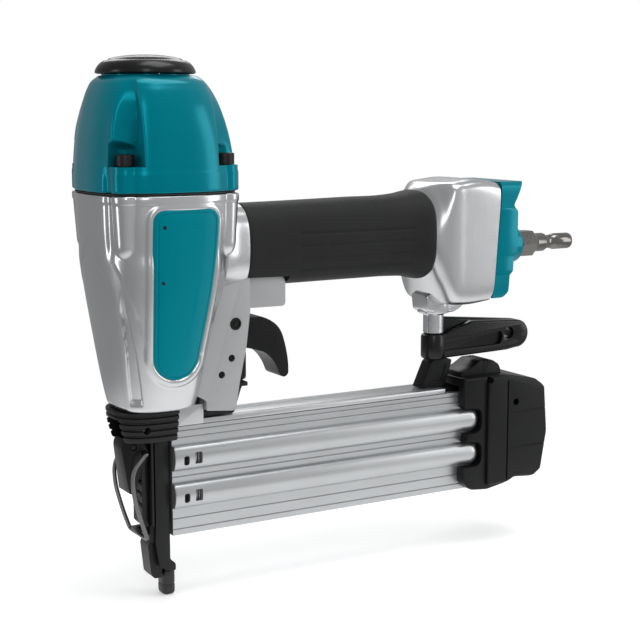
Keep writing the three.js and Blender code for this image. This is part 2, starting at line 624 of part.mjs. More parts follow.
function endCap() {
  const outline = [[BELL_END + 1.1, 124.2], [174.6, 124.2], [177.2, 127], [177.6, 135], [179.6, 137],
    [179.8, 144], [182, 146], [182, 165.6], [179.4, 168.4], [185.6, 179.8], [BELL_END + 1.1, 179.8]];
  const section = barX(roundedBox(22, 121, 181.4, 7), 165, 200, 5);
  const boss = rodX(PLUG_Z, 9, 181, 197);
  const body = common(plateY(outline, -30, 30), section);
  const screws = [-14, 14].flatMap((y) => [134, 172].map((z) =>
    rodX(z, 1.9 + GAP, 165, 200, 8).translate(0, y, 0)));
  const heads = [-14, 14].flatMap((y) => [134, 172].map((z) =>
    rodX(z, 3.4, screwSeat(z), 200, 12).translate(0, y, 0)));
  return cut(join(body, boss), rodX(PLUG_Z, 6.2, 165, 200), ...screws, ...heads);
}

function endCapGasket() {
  const section = barX(roundedBox(21.5, 124.5, 179.2, 6), BELL_END + GAP, BELL_END + 0.8, 5);
  const screws = [-14, 14].flatMap((y) => [134, 172].map((z) =>
    rodX(z, 1.9 + GAP, 165, 200, 8).translate(0, y, 0)));
  return cut(section, box([165, 180], [-11, 11], [127, 177]), ...screws);
}

function endCapScrew(y, z) {
  const seat = screwSeat(z);
  const head = rodX(z, 3.1, seat + GAP, seat + 3, 12);
  const socket = rodX(z, 1.5, seat + 1.6, seat + 4, 6);
  return cut(join(head, rodX(z, 1.9, 168.6, seat + 1, 8)), socket).translate(0, y, 0);
}

function airPlug() {
  const profile = [[3, 180], [5.9, 180], [5.9, 197.3], [6, 206.5], [4.6, 208.5], [4.6, 214], [3.4, 216],
    [3.4, 219],
    [4, 220.5], [4, 230.2], [3.2, PLUG_END], [2.4, PLUG_END], [2.4, 190], [3, 180]];
  const barrel = turned(profile, 0, 16).rotateY(Math.PI / 2).translate(0, 0, PLUG_Z);
  const hex = cut(rodX(PLUG_Z, 7.1, 197.4, 206.4, 6), rodX(PLUG_Z, 4, 190, 210, 12));
  return join(barrel, hex);
}

// ---- Strut and belt hook ----
function strut() {
  const shelf = HOOK.bottom - GAP;
  const low = RAIL.top + GAP;
  const foot = plateY([[139.3, low], [153, low], [157.4, shelf], [145.4, shelf]], -4, 4);
  const pivot = rodZ(POST_X, 0, HOOK.pivot, 92, HOOK.hubTop);
  return cut(join(foot, pivot), rodZ(POST_X, 0, 2.2 + GAP, 87, 118, 12));
}

function strutScrew() {
  return rodZ(POST_X, 0, 2.1, 87.4, 121.6, 12);
}

// The arm rises behind the post, tapers to a rounded end, and is hollowed a little on both faces.
function beltHook() {
  const { bottom, top, hub, hubTop } = HOOK;
  const loop = new THREE.Shape();
  loop.moveTo(POST_X, bottom);
  loop.lineTo(HOOK_END.x - 6, bottom + 1);
  loop.absarc(HOOK_END.x, HOOK_END.z, HOOK_END.radius, -0.52 * Math.PI, 0.48 * Math.PI, false);
  loop.lineTo(POST_X + 5.8, top);
  loop.lineTo(POST_X + 5.4, hubTop);
  loop.lineTo(POST_X, hubTop);
  const hollow = [[156, 97.6], [185, 98.6], [187, 102.5], [185, 106.2], [160, 108.4], [156, 105]];
  const hole = rodY(HOOK_HOLE, 3, -10, 10, 14);
  const arm = cut(plateY(loop, -4.4, 4.4, 6), plateY(hollow, -6, -2.4), plateY(hollow, 2.4, 6), hole);
  return cut(join(rodZ(POST_X, 0, hub, bottom, hubTop), arm), rodZ(POST_X, 0, HOOK.pivot + GAP, 90, 120));
}

// ---- Assembly ----
const tool = new THREE.Group();
tool.position.x = -FOOT_X;

function add(name, geometry, material) {
  const mesh = new THREE.Mesh(geometry, material);
  mesh.name = name;
  tool.add(mesh);
}

function addHead() {
  add('housing', housing(), FINISH.silver);
  add('cylinder_cap', cylinderCap(), FINISH.teal);
  add('cap_gasket', capGasket(), FINISH.black);
  BOLT_X.forEach((x, i) => [-BOLT_Y, BOLT_Y].forEach((y, k) =>
    add(`cap_bolt_${['front', 'rear'][i]}_${['left', 'right'][k]}`, capBolt(x, y), FINISH.blackSteel)));
  add('exhaust_deflector', exhaustDeflector(), FINISH.black);
  add('deflector_screw', deflectorScrew(), FINISH.blackSteel);
  add('side_inlay_left', sideInlay(-1), FINISH.teal);
  add('side_inlay_right', sideInlay(1), FINISH.teal);
}

function addDrive() {
  add('cylinder_sleeve', cylinderSleeve(), FINISH.aluminium);
  add('piston', piston(), FINISH.aluminium);
  add('piston_ring', pistonRing(), FINISH.rubber);
  add('driver_blade', driverBlade(), FINISH.steel);
  add('bumper', bumper(), FINISH.rubber);
  add('head_valve', headValve(), FINISH.black);
  add('head_valve_seal', headValveSeal(), FINISH.rubber);
  add('head_valve_spring', headValveSpring(), FINISH.steel);
}

function addTrigger() {
  add('trigger', trigger(), FINISH.black);
  add('trigger_pin', rodY(TRIGGER_PIN, 2.5, -HALF_WEB - 0.4, HALF_WEB + 0.4), FINISH.blackSteel);
  add('trigger_spring', triggerSpring(), FINISH.steel);
  add('trigger_valve_body', valveBody(), FINISH.brass);
  add('trigger_valve_stem', valveStem(), FINISH.steel);
  WEB_PINS.forEach((pin, i) =>
    add(`web_pin_${['upper', 'lower'][i]}`, rodY(pin, 1.3, -HALF_WEB, HALF_WEB, 12), FINISH.blackSteel));
}

function addNose() {
  add('nose_collar', noseCollar(), FINISH.blackSteel);
  add('driver_guide', driverGuide(), FINISH.blackSteel);
  add('nose_door', noseDoor(), FINISH.blackSteel);
  add('door_pin', rodY(DOOR_PIN, 1.3, -10.6, 10.6, 12), FINISH.steel);
  add('latch_lever', latchLever(), FINISH.black);
  add('latch_pin', rodY(LEVER_PIN, 1.2, -6.6, 6.6, 12), FINISH.steel);
  add('latch_bail', latchBail(), FINISH.steel);
  add('contact_arm', contactArm(), FINISH.blackSteel);
  add('contact_foot', contactFoot(), FINISH.rubber);
  add('contact_spring', coil(29.6, 2.4, 0.45, 82, 94.2, 5), FINISH.steel);
  add('arm_guide', armGuide(), FINISH.black);
  add('depth_wheel', depthWheel(), FINISH.black);
}

function addMagazine() {
  add('fixed_rail', fixedRail(), FINISH.aluminium);
  add('sliding_magazine', slidingCover(), FINISH.aluminium);
  add('magazine_end_cap', magazineEndCap(), FINISH.black);
  add('magazine_latch', magazineLatch(), FINISH.black);
  add('magazine_latch_pin', rodY([172, 83], 1.2, -12, 12, 12), FINISH.steel);
  add('pusher', pusher(), FINISH.steel);
  add('pusher_spring_roll', springRoll(), FINISH.steel);
  add('pusher_spring_spool', springSpool(), FINISH.black);
}

function addRear() {
  const rings = [[GRIP_START, HANDLE_Z, 18.4, 18.4, 16], [60, HANDLE_Z, 18.6, 18.6, 16.2],
    [100, HANDLE_Z + 0.4, 18.9, 18.9, 16.6], [124, HANDLE_Z + 0.6, 19.2, 19.2, 17.2],
    [131, HANDLE_Z + 0.6, 20.2, 20.2, 18.6], [GRIP_END - 1.5, HANDLE_Z + 0.4, 21.4, 21.4, 19.8],
    [GRIP_END, HANDLE_Z + 0.4, 20.8, 20.8, 19.2]];
  const bore = [[30, HANDLE_Z, TUBE.high + GAP, TUBE.high + GAP, TUBE.half + GAP],
    [140, HANDLE_Z + 0.6, TUBE.high + GAP, TUBE.high + GAP, TUBE.half + GAP]];
  const valveNotch = box([40, 62.6], [-HALF_WEB - GAP, HALF_WEB + GAP], [130, 142.6]);
  add('grip_sleeve', cut(loft(rings, 'x', 28), loft(bore, 'x', 24), valveNotch), FINISH.rubber);
  add('end_cap', endCap(), FINISH.teal);
  add('end_cap_gasket', endCapGasket(), FINISH.rubber);
  [-14, 14].forEach((y, i) => [134, 172].forEach((z, k) =>
    add(`end_cap_screw_${['left', 'right'][i]}_${['lower', 'upper'][k]}`, endCapScrew(y, z),
      FINISH.blackSteel)));
  add('air_plug', airPlug(), FINISH.chrome);
  add('strut', strut(), FINISH.black);
  add('strut_screw', strutScrew(), FINISH.steel);
  add('belt_hook', beltHook(), FINISH.black);
}

addHead();
addDrive();
addTrigger();
addNose();
addMagazine();
addRear();

export default tool;
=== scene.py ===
"""Looks for a pneumatic brad nailer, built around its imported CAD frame.

Shapes are drawn in millimetres about the drive axis, which stands at X = 0, and placed in the frame's
metres at the end. +X runs back along the handle, -Y is the left side and +Z points away from the work.
"""

import math

import bmesh
import bpy
import numpy as np
from mathutils import Matrix, Vector


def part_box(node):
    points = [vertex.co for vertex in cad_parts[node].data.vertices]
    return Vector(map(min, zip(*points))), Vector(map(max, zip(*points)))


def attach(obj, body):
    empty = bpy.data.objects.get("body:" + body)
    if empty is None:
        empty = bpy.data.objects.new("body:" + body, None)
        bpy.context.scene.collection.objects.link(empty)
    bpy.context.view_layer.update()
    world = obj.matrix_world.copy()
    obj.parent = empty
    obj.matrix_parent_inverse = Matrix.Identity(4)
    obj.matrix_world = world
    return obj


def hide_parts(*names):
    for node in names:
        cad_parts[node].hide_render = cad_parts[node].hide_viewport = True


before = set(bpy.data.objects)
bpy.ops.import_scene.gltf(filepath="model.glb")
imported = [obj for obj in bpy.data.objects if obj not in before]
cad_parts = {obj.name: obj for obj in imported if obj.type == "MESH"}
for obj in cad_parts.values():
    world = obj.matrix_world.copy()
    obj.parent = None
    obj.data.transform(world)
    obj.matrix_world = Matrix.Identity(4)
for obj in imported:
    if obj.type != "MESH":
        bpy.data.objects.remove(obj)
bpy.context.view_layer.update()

MM = 0.001
deflector_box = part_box("exhaust_deflector")
DRIVE_X = (deflector_box[0][0] + deflector_box[1][0]) / 2
ROOT = "frame"
SIDES = (-1, 1)
SQUARENESS = 2.6

# Pins that run from side to side, as (x, z), and other places that several pieces share.
TRIGGER_PIN = (35.4, 121)
WEB_PINS = (33.3, 105.9), (28.4, 98.9)
DOOR_PIN = (-8.2, 78.4)
LEVER_PIN = (-11.5, 70)
BAIL_PIN = (-6.6, 67)
LATCH_PIN = (172, 83)
HANDLE_Z = 154.6
PLUG_Z = 147.5
POST_X = 148.6
WHEEL_X = 41
VALVE_X = 47
# The radius of the air way through the handle, half the width of the slot in the trigger web, and how far to
# each side the slots for the contact arm lie.
AIR_WAY = 10.5
WEB_SLOT = 8.3
ARM_SLOT = (5.4, 8.2)


# ---- Outlines ----
def full_turn(count):
    return np.linspace(0, 2 * math.pi, count, endpoint=False)


def arc(x, z, radius, start, end, count=8):
    """Points on a circle, from one angle in degrees to another."""
    turns = np.radians(np.linspace(start, end, count))
    return [(x + radius * math.cos(t), z + radius * math.sin(t)) for t in turns]


def bend(start, pull, end, count=8):
    """Points on a quadratic curve."""
    points = []
    for t in np.linspace(0, 1, count):
        a, b, c = (1 - t) ** 2, 2 * t * (1 - t), t * t
        points.append((a * start[0] + b * pull[0] + c * end[0], a * start[1] + b * pull[1] + c * end[1]))
    return points


def rounded(points, radius, count=5):
    """An outline with each corner rounded; radius is one number, or one for each corner."""
    radii = radius if isinstance(radius, list) else [radius] * len(points)
    result = []
    for i, r in enumerate(radii):
        before, here, after = (Vector(points[k % len(points)]) for k in (i - 1, i, i + 1))
        if r <= 0:
            result.append(tuple(here))
            continue
        back, on = before - here, after - here
        reach = min(r, back.length * 0.49, on.length * 0.49)
        result += bend(here + back.normalized() * reach, here, here + on.normalized() * reach, count)
    return result


def rectangle(a, b, radius=0.0):
    return rounded([(a[0], b[0]), (a[1], b[0]), (a[1], b[1]), (a[0], b[1])], radius)


def circle(radius, turns):
    return np.stack([radius * np.cos(turns), radius * np.sin(turns)], axis=1)


def polar(low, high, half, turns, power=SQUARENESS):
    """How far out a squared circle lies: its reach to both ends of one axis, and half its width."""
    cos, sin = np.cos(turns), np.sin(turns)
    reach = np.where(cos > 0, high, low)
    return (np.abs(cos / reach) ** power + np.abs(sin / half) ** power) ** (-1 / power)


def squircle(centre, low, high, half, power=SQUARENESS, count=96):
    """A squared circle in (u, v): how far it reaches below and above its centre, and its half width."""
    turns = full_turn(count)
    return circle(polar(low, high, half, turns, power), turns) + np.array((centre, 0))


def along(table, stations):
    """Smooth values between the rows of a table, whose first column is the station."""
    table = np.array(table, float)
    at, values = table[:, 0], table[:, 1:]
    slopes = np.gradient(values, at, axis=0)
    stations = np.asarray(stations, float)
    i = np.clip(np.searchsorted(at, stations, side="right") - 1, 0, len(at) - 2)
    width = (at[i + 1] - at[i])[:, None]
    t = (stations[:, None] - at[i][:, None]) / width
    start, end = values[i], values[i + 1]
    return (start * (2 * t**3 - 3 * t**2 + 1) + end * (3 * t**2 - 2 * t**3)
            + width * slopes[i] * (t**3 - 2 * t**2 + t) + width * slopes[i + 1] * (t**3 - t**2))


# ---- Meshes ----
def in_scene(name, data):
    obj = bpy.data.objects.new(name, data)
    bpy.context.scene.collection.objects.link(obj)
    return obj


def mesh_object(verts, faces, name="work"):
    mesh = bpy.data.meshes.new(name)
    mesh.from_pydata([tuple(map(float, v)) for v in verts], [], faces)
    return in_scene(name, mesh)


def bake(obj):
    """Applies the object's modifiers."""
    graph = bpy.context.evaluated_depsgraph_get()
    mesh = bpy.data.meshes.new_from_object(obj.evaluated_get(graph))
    old = obj.data
    obj.modifiers.clear()
    obj.data = mesh
    bpy.data.meshes.remove(old)
    return obj


def outward(obj, weld=False):
    """Turns the faces outwards, and joins points that coincide where asked."""
    work = bmesh.new()
    work.from_mesh(obj.data)
    if weld:
        bmesh.ops.remove_doubles(work, verts=work.verts, dist=1e-5)
        bmesh.ops.dissolve_degenerate(work, edges=work.edges, dist=1e-6)
    bmesh.ops.recalc_face_normals(work, faces=work.faces)
    work.to_mesh(obj.data)
    work.free()
    return obj


def skin(rings, closed=False):
    """Rings of points joined into a closed skin, capped at both ends unless the rings form a loop."""
    rings = np.asarray(rings, float)
    rows, count = rings.shape[:2]
    faces = []
    for i in range(rows if closed else rows - 1):
        a, b = i * count, ((i + 1) % rows) * count
        faces += [(a + k, a + (k + 1) % count, b + (k + 1) % count, b + k) for k in range(count)]
    if not closed:
        faces.append(tuple(range(count))[::-1])
        faces.append(tuple(range((rows - 1) * count, rows * count)))
    return outward(mesh_object(rings.reshape(-1, 3), faces))


def spread(outline, axis, station):
    """An outline's points in space: (x, z) for axis y, (y, z) for axis x and (x, y) for axis z."""
    flat = np.asarray(outline, float)
    fixed = np.full(len(flat), float(station))
    first, second = flat[:, 0], flat[:, 1]
    order = {"x": (fixed, first, second), "y": (first, fixed, second), "z": (first, second, fixed)}
    return np.stack(order[axis], axis=1)


def between(side, near, far):
    """The limits in Y of something that lies between two distances on the left (-1) or right (1) side."""
    return (near, far) if side > 0 else (-far, -near)


def hexagon(axis, at, radius, low, high):
    return prism(arc(*at, radius, 0, 300, 6), axis, low, high)


def across(at, radius, half=20, edge=0.0, sides=48):
    """A round bar from side to side at (x, z)."""
    return rod("y", at, radius, -half, half, edge, sides)


def both_blocks(x, near, far, z, edge=0.0):
    """The same block on the left and on the right."""
    return [block(x, between(s, near, far), z, edge, 2) for s in SIDES]


def both_plates(outline, near, far, edge=0.0):
    """The same plate on the left and on the right."""
    return [prism(outline, "y", *between(s, near, far), edge, 2) for s in SIDES]


def bevel(obj, width, segments=3, angle=30):
    tool = obj.modifiers.new("edge", "BEVEL")
    tool.width = width
    tool.segments = segments
    tool.limit_method = "ANGLE"
    tool.angle_limit = math.radians(angle)
    tool.miter_outer = "MITER_ARC"
    return bake(obj)


def prism(outline, axis, low, high, edge=0.0, segments=3):
    """An outline drawn out along an axis, with its edges rounded."""
    obj = skin([spread(outline, axis, low), spread(outline, axis, high)])
    return bevel(obj, edge, segments) if edge else obj


def slab(outline, half, edge=0.0, segments=3):
    """An outline drawn out equally far to the left and to the right."""
    return prism(outline, "y", -half, half, edge, segments)


def block(x, y, z, edge=0.0, segments=3):
    """A box between limits in X and Z; y is its half width, or its two limits."""
    low, high = y if isinstance(y, tuple) else (-y, y)
    return prism(rectangle(x, z), "y", low, high, edge, segments)


def lathe(profile, axis="z", at=(0, 0), sides=64):
    """A closed skin from a profile of (radius, height) turned about an axis; it starts and ends on it."""
    profile = [(max(r, 0.0), h) for r, h in profile]
    turns = full_turn(sides)
    rings = []
    for radius, height in profile:
        rings.append(spread(circle(radius, turns) + np.array(at), axis, height))
    closed = profile[0][0] > 0 and profile[-1][0] > 0 and profile[0] != profile[-1]
    return outward(skin(rings, closed), weld=True)


def rod(axis, at, radius, low, high, edge=0.0, sides=48):
    """A round bar with rounded ends."""
    corner = min(edge, radius * 0.9)
    turns = np.radians(np.linspace(0, 90, 5)) if corner else [math.pi / 2]
    lower = [(radius - corner + corner * math.sin(t), low + corner - corner * math.cos(t)) for t in turns]
    upper = [(r, high + low - h) for r, h in reversed(lower)]
    return lathe([(0, low), *lower, *upper, (0, high)], axis, at, sides)


def post(x, radius, low, high, edge=0.0, sides=48):
    """An upright round bar in the middle plane."""
    return rod("z", (x, 0), radius, low, high, edge, sides)


def smooth_path(points, steps):
    """A Catmull-Rom curve through the points."""
    points = np.array(points, float)
    points = np.vstack([2 * points[0] - points[1], points, 2 * points[-1] - points[-2]])
    curve = []
    for i in range(1, len(points) - 2):
        p0, p1, p2, p3 = points[i - 1:i + 3]
        for t in np.linspace(0, 1, steps, endpoint=False):
            curve.append(0.5 * (2 * p1 + (p2 - p0) * t + (2 * p0 - 5 * p1 + 4 * p2 - p3) * t**2
                                + (3 * p1 - p0 - 3 * p2 + p3) * t**3))
    return np.array([*curve, points[-2]])


def wire(points, radius, steps=8, sides=14):
    """A round wire along a smooth path."""
    path = smooth_path(points, steps)
    heading = np.gradient(path, axis=0)
    heading /= np.linalg.norm(heading, axis=1)[:, None]
    turns = full_turn(sides)
    rings = []
    side = np.array([0.0, 1.0, 0.0])
    for point, forward in zip(path, heading):
        side = side - forward * side.dot(forward)
        side /= np.linalg.norm(side)
        other = np.cross(forward, side)
        rings.append(point + radius * (np.outer(np.cos(turns), side) + np.outer(np.sin(turns), other)))
    return skin(rings)


def boolean(obj, tools, operation):
    for tool in tools:
        modifier = obj.modifiers.new("boolean", "BOOLEAN")
        modifier.operation = operation
        modifier.solver = "MANIFOLD"
        modifier.object = tool
    bake(obj)
    for tool in tools:
        bpy.data.objects.remove(tool)
    return obj


def cut(obj, *tools):
    return boolean(obj, tools, "DIFFERENCE")


def join(obj, *tools):
    return boolean(obj, tools, "UNION")


def common(obj, *tools):
    return boolean(obj, tools, "INTERSECT")


# ---- Materials ----
def new_material(name):
    material = bpy.data.materials.new(name)
    material.use_nodes = True
    nodes = material.node_tree.nodes
    return material, nodes, material.node_tree.links, nodes["Principled BSDF"]


def fill(node, values):
    """Sets a node's inputs by name."""
    for name, value in values.items():
        node.inputs[name].default_value = value


def noise(nodes, links, scale, detail=3.0, stretch=(1, 1, 1)):
    place = nodes.new("ShaderNodeTexCoord")
    mapping = nodes.new("ShaderNodeMapping")
    fill(mapping, {"Scale": stretch})
    texture = nodes.new("ShaderNodeTexNoise")
    fill(texture, {"Scale": scale, "Detail": detail, "Roughness": 0.55})
    links.new(place.outputs["Object"], mapping.inputs["Vector"])
    links.new(mapping.outputs["Vector"], texture.inputs["Vector"])
    return texture.outputs["Fac"]


def ranged(nodes, links, source, low, high, start=0.35, end=0.65):
    range_node = nodes.new("ShaderNodeMapRange")
    fill(range_node, {"From Min": start, "From Max": end, "To Min": low, "To Max": high})
    links.new(source, range_node.inputs["Value"])
    return range_node.outputs["Result"]


def tinted(nodes, links, source, first, second):
    mix = nodes.new("ShaderNodeMix")
    mix.data_type = "RGBA"
    links.new(source, mix.inputs["Factor"])
    fill(mix, {"A": (*first, 1), "B": (*second, 1)})
    return mix.outputs["Result"]


def surface(name, colour, roughness, metallic=0.0, shade=0.85, grain=900.0, bump=0.05, depth=0.0002,
            stretch=(1, 1, 1), coat=0.0, specular=0.5, tint=(1, 1, 1), spread_by=0.12):
    """A finish with a slow change of shade, a broken gloss and a fine grain in its bump."""
    material, nodes, links, shader = new_material(name)
    slow = noise(nodes, links, 35.0, 4.0)
    fine = noise(nodes, links, grain, stretch=stretch)
    darker = tuple(c * shade for c in colour)
    blend_by = ranged(nodes, links, slow, 0.0, 1.0)
    links.new(tinted(nodes, links, blend_by, darker, colour), shader.inputs["Base Color"])
    gloss = ranged(nodes, links, fine, max(roughness - spread_by, 0.03), roughness + spread_by, 0.3, 0.7)
    links.new(gloss, shader.inputs["Roughness"])
    relief = nodes.new("ShaderNodeBump")
    fill(relief, {"Strength": bump, "Distance": depth})
    links.new(fine, relief.inputs["Height"])
    links.new(relief.outputs["Normal"], shader.inputs["Normal"])
    fill(shader, {"Metallic": metallic, "Coat Weight": coat, "Coat Roughness": 0.08,
                  "Specular IOR Level": specular, "Specular Tint": (*tint, 1)})
    return material


MATERIALS = {}
TEAL_SHEEN = (0.02, 0.62, 0.78)


def finish(slot, colour, roughness, metallic=0.0, **details):
    MATERIALS[slot] = surface(slot, colour, roughness, metallic, **details)


finish("teal_casting", (0.0, 0.175, 0.225), 0.2, shade=0.92, grain=500, bump=0.006, spread_by=0.03,
       specular=1.0, tint=TEAL_SHEEN)
finish("teal_plastic", (0.0, 0.21, 0.265), 0.38, shade=0.94, bump=0.02, spread_by=0.04, tint=TEAL_SHEEN)
finish("silver_casting", (0.6, 0.605, 0.615), 0.23, 0.92, shade=0.95, grain=700, bump=0.002, spread_by=0.03,
       coat=0.1)
finish("extruded_aluminium", (0.5, 0.51, 0.52), 0.34, 0.9, shade=0.95, grain=1.0, stretch=(14, 900, 1900),
       bump=0.12, spread_by=0.08)
finish("machined_aluminium", (0.66, 0.67, 0.68), 0.3, 1.0, grain=1.0, stretch=(120, 120, 2400), bump=0.12)
finish("grip_rubber", (0.017, 0.0175, 0.0172), 0.6, shade=0.8, grain=1500, bump=0.3, depth=0.0003,
       spread_by=0.07, specular=0.2)
finish("seal_rubber", (0.012, 0.012, 0.012), 0.6, grain=1800, bump=0.2)
finish("foot_rubber", (0.008, 0.008, 0.0085), 0.42, grain=1800, bump=0.2)
finish("black_plastic", (0.007, 0.0073, 0.0076), 0.36, shade=0.8, grain=1700, bump=0.2, depth=0.0003,
       spread_by=0.08, specular=0.2)
finish("gloss_black_plastic", (0.004, 0.004, 0.0045), 0.24, grain=1200, bump=0.03, spread_by=0.05,
       specular=0.35)
finish("black_steel", (0.012, 0.0122, 0.0128), 0.4, 0.4, shade=0.75, grain=1400, bump=0.15, spread_by=0.08,
       specular=0.4)
finish("steel", (0.36, 0.36, 0.37), 0.32, 1.0, shade=0.88, grain=1600, bump=0.08)
finish("plug_chrome", (0.22, 0.21, 0.2), 0.14, 1.0, grain=1500, bump=0.03, spread_by=0.05)
finish("valve_brass", (0.6, 0.42, 0.14), 0.3, 1.0, grain=1400, bump=0.08)


def piece(obj, name, slot, body=ROOT, stands_for=None, sharp=32, material=None):
    """Names a finished shape, moves it into the frame's metres and gives it its finish and its body."""
    obj.name = name
    obj.data.name = name
    outward(obj)
    obj.data.transform(Matrix.Translation((DRIVE_X, 0, 0)) @ Matrix.Scale(MM, 4))
    obj.data.polygons.foreach_set("use_smooth", [True] * len(obj.data.polygons))
    obj.data.set_sharp_from_angle(angle=math.radians(sharp))
    obj.data.materials.clear()
    obj.data.materials.append(material or MATERIALS[slot])
    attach(obj, body)
    if stands_for:
        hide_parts(stands_for)
    return obj


# ---- Head: the barrel and the cap ----
# Each row is a height, the reach to the front, the reach to the rear and the half width.
BARREL = [
    (86.8, 18, 17.5, 19.4), (96.7, 20, 20, 21.8), (106.5, 21.6, 22, 23.8), (116, 23, 24, 25.6),
    (126, 24.5, 26.5, 27.3), (136, 25.9, 29, 29), (145, 27, 31, 30.2), (155, 28, 33, 31.3),
    (164, 28.7, 35, 32.1), (179.2, 29, 36.6, 32.5),
]
CAP = [
    (180.4, 29, 36.6, 32.5), (191, 28.8, 36, 32.3), (201, 27.7, 34.2, 31.3), (210, 26.3, 31.8, 29.5),
    (218, 24.6, 28.8, 27), (223, 22.9, 26, 24.6), (226, 21.2, 23.6, 22.4), (228, 18.6, 20.4, 19.4),
]
FRONT_BOLT, REAR_BOLT, BOLT_Y = -19, 26, 22
# The radius of the column over each bolt, the height of the cap's ledge and the radius of the bore.
LOBE = {FRONT_BOLT: 6.2, REAR_BOLT: 5.6}
FLANGE_TOP = 191
AIR_BORE = 19.6
# Stands for a surface that is too far out to cut anything.
CLEAR = 99.0


def soft_min(a, b, width):
    h = np.clip(0.5 + 0.5 * (b - a) / width, 0, 1)
    return b * (1 - h) + a * h - width * h * (1 - h)


def soft_max(a, b, width):
    return -soft_min(-a, -b, width)


def step(low, high, value):
    t = np.clip((value - low) / (high - low), 0, 1)
    return t * t * (3 - 2 * t)


def fold(turns):
    """The same angle on the left side, measured up from the rear for x > 0 and from the front for x < 0."""
    return np.arctan2(np.abs(np.sin(turns)), np.cos(turns))


def bolt_ray(turns, bolt_x, size):
    """Whether a ray crosses a circle about a bolt, how far out its chord's middle is, and half the chord."""
    angle = fold(turns) - math.atan2(BOLT_Y, bolt_x)
    distance = math.hypot(bolt_x, BOLT_Y)
    inside = size**2 - (distance * np.sin(angle)) ** 2
    return inside > 0, distance * np.cos(angle), np.sqrt(np.maximum(inside, 0))


def columns(radius, turns, heights, bottom=None):
    """Raises the columns over the bolts, which shrink towards their rounded lower ends."""
    for bolt_x, size in LOBE.items():
        full = np.full(heights.shape, size)
        if bottom is not None:
            above = heights - bottom
            tip = np.sqrt(1 - (1 - np.clip(above / size, 0, 1)) ** 2)
            full = size * tip * (0.72 + 0.28 * np.clip(above / 26, 0, 1))
        crossed, middle, half = bolt_ray(turns, bolt_x, full)
        radius = soft_max(radius, np.where(crossed, middle + half, 0.0), 0.9)
    return radius


def outline_distance(x, z, outline):
    """Signed distance from points to a closed outline, negative inside."""
    start = np.array(outline)
    end = np.roll(start, -1, axis=0)
    best = np.full(x.shape, 1e9)
    inside = np.zeros(x.shape, bool)
    for (ax, az), (bx, bz) in zip(start, end):
        dx, dz = bx - ax, bz - az
        length = max(dx * dx + dz * dz, 1e-12)
        t = np.clip(((x - ax) * dx + (z - az) * dz) / length, 0, 1)
        best = np.minimum(best, np.hypot(x - ax - t * dx, z - az - t * dz))
        if abs(dz) > 1e-12:
            crosses = ((az > z) != (bz > z)) & (x < dx * (z - az) / dz + ax)
            inside ^= crosses
    return np.where(inside, -best, best)


# The side inlay's outline, as (x, z).
INLAY = (bend((-9.5, 112), (-11.5, 150), (-11, 168.5), 24)[:-1] + arc(-6, 168.5, 5, 180, 90, 8)
         + arc(14.5, 168.5, 5, 90, 0, 8) + bend((19.5, 168.5), (19.5, 145), (13.5, 112), 24)[1:-1]
         + arc(2, 112, 11.5, 0, -180, 26)[:-1])
# How far the raised frame round the inlay reaches past it, by height.
SHIELD = [(96, 2.6), (108, 2.4), (116, 2.6), (128, 5), (143.4, 9.8), (152, 13)]


def barrel_side(x, z):
    """Half width of the plain barrel at a place seen from the side."""
    x, z = np.asarray(x, float), np.asarray(z, float)
    rows = along(BARREL, z.ravel()).reshape(*z.shape, 3)
    reach = np.where(x > 0, rows[..., 1], rows[..., 0])
    inner = np.clip(1 - np.abs(x / reach) ** SQUARENESS, 0, 1)
    return rows[..., 2] * inner ** (1 / SQUARENESS)


def polar_grid(table, heights, count):
    turns = full_turn(count)
    rows = along(table, heights)
    turn_grid, height_grid = np.meshgrid(turns, heights)
    radius = polar(rows[:, 0:1], rows[:, 1:2], rows[:, 2:3], turn_grid)
    return radius, turn_grid, height_grid


def polar_skin(radius, turns, heights):
    return skin(np.stack([radius * np.cos(turns), radius * np.sin(turns), heights], axis=2))


def barrel_relief(radius, turns, z):
    """Gives the plain barrel its columns, valleys, raised inlay frame, flutes and rounded ends."""
    radius = columns(radius - 0.5 * step(150, 158, z), turns, z, 152.5)
    from_front = np.degrees(math.pi - fold(turns))
    radius -= 0.9 * np.exp(-((from_front - 36.5) / 3.2) ** 2) * step(150, 160, z)
    distance = outline_distance(radius * np.cos(turns), z, INLAY)
    shield = np.interp(z, *zip(*SHIELD))
    raised = 0.75 * (1 - step(-0.8, 0.8, distance - shield)) * (1 - step(146, 156, z))
    frame_edge = 0.5 * (1 - step(1.2, 3.0, distance)) * step(-0.7, 0.3, distance)
    recess = -1.3 * (1 - step(-1.2, -0.3, distance))
    radius += np.where(np.abs(np.sin(turns)) > 0.5, raised + frame_edge + recess, 0)
    centre = np.interp(z, [95, 113.6, 131], [49.4, 48.5, 44.7])
    half_width = np.interp(z, [92, 100, 131, 140], [9.0, 8.2, 3.6, 1.5])
    flute = step(89.5, 93, z) * (1 - step(126, 141, z))
    radius -= 1.5 * flute * (1 - step(0.62, 1.0, np.abs((from_front - centre) / half_width)))
    crease = z - 149.5 + 0.55 * (from_front - 20)
    radius -= 0.35 * (1 - step(-0.6, 0.6, crease)) * (1 - step(30, 40, from_front))
    radius += 0.35 * step(175.6, 176.2, z)
    radius -= np.interp(z, [86.8, 87.0, 87.4, 88.0, 88.7], [1.3, 0.8, 0.4, 0.12, 0])
    return radius - np.interp(z, [178.4, 178.6, 179.0, 179.2], [0, 0.04, 0.25, 0.55])


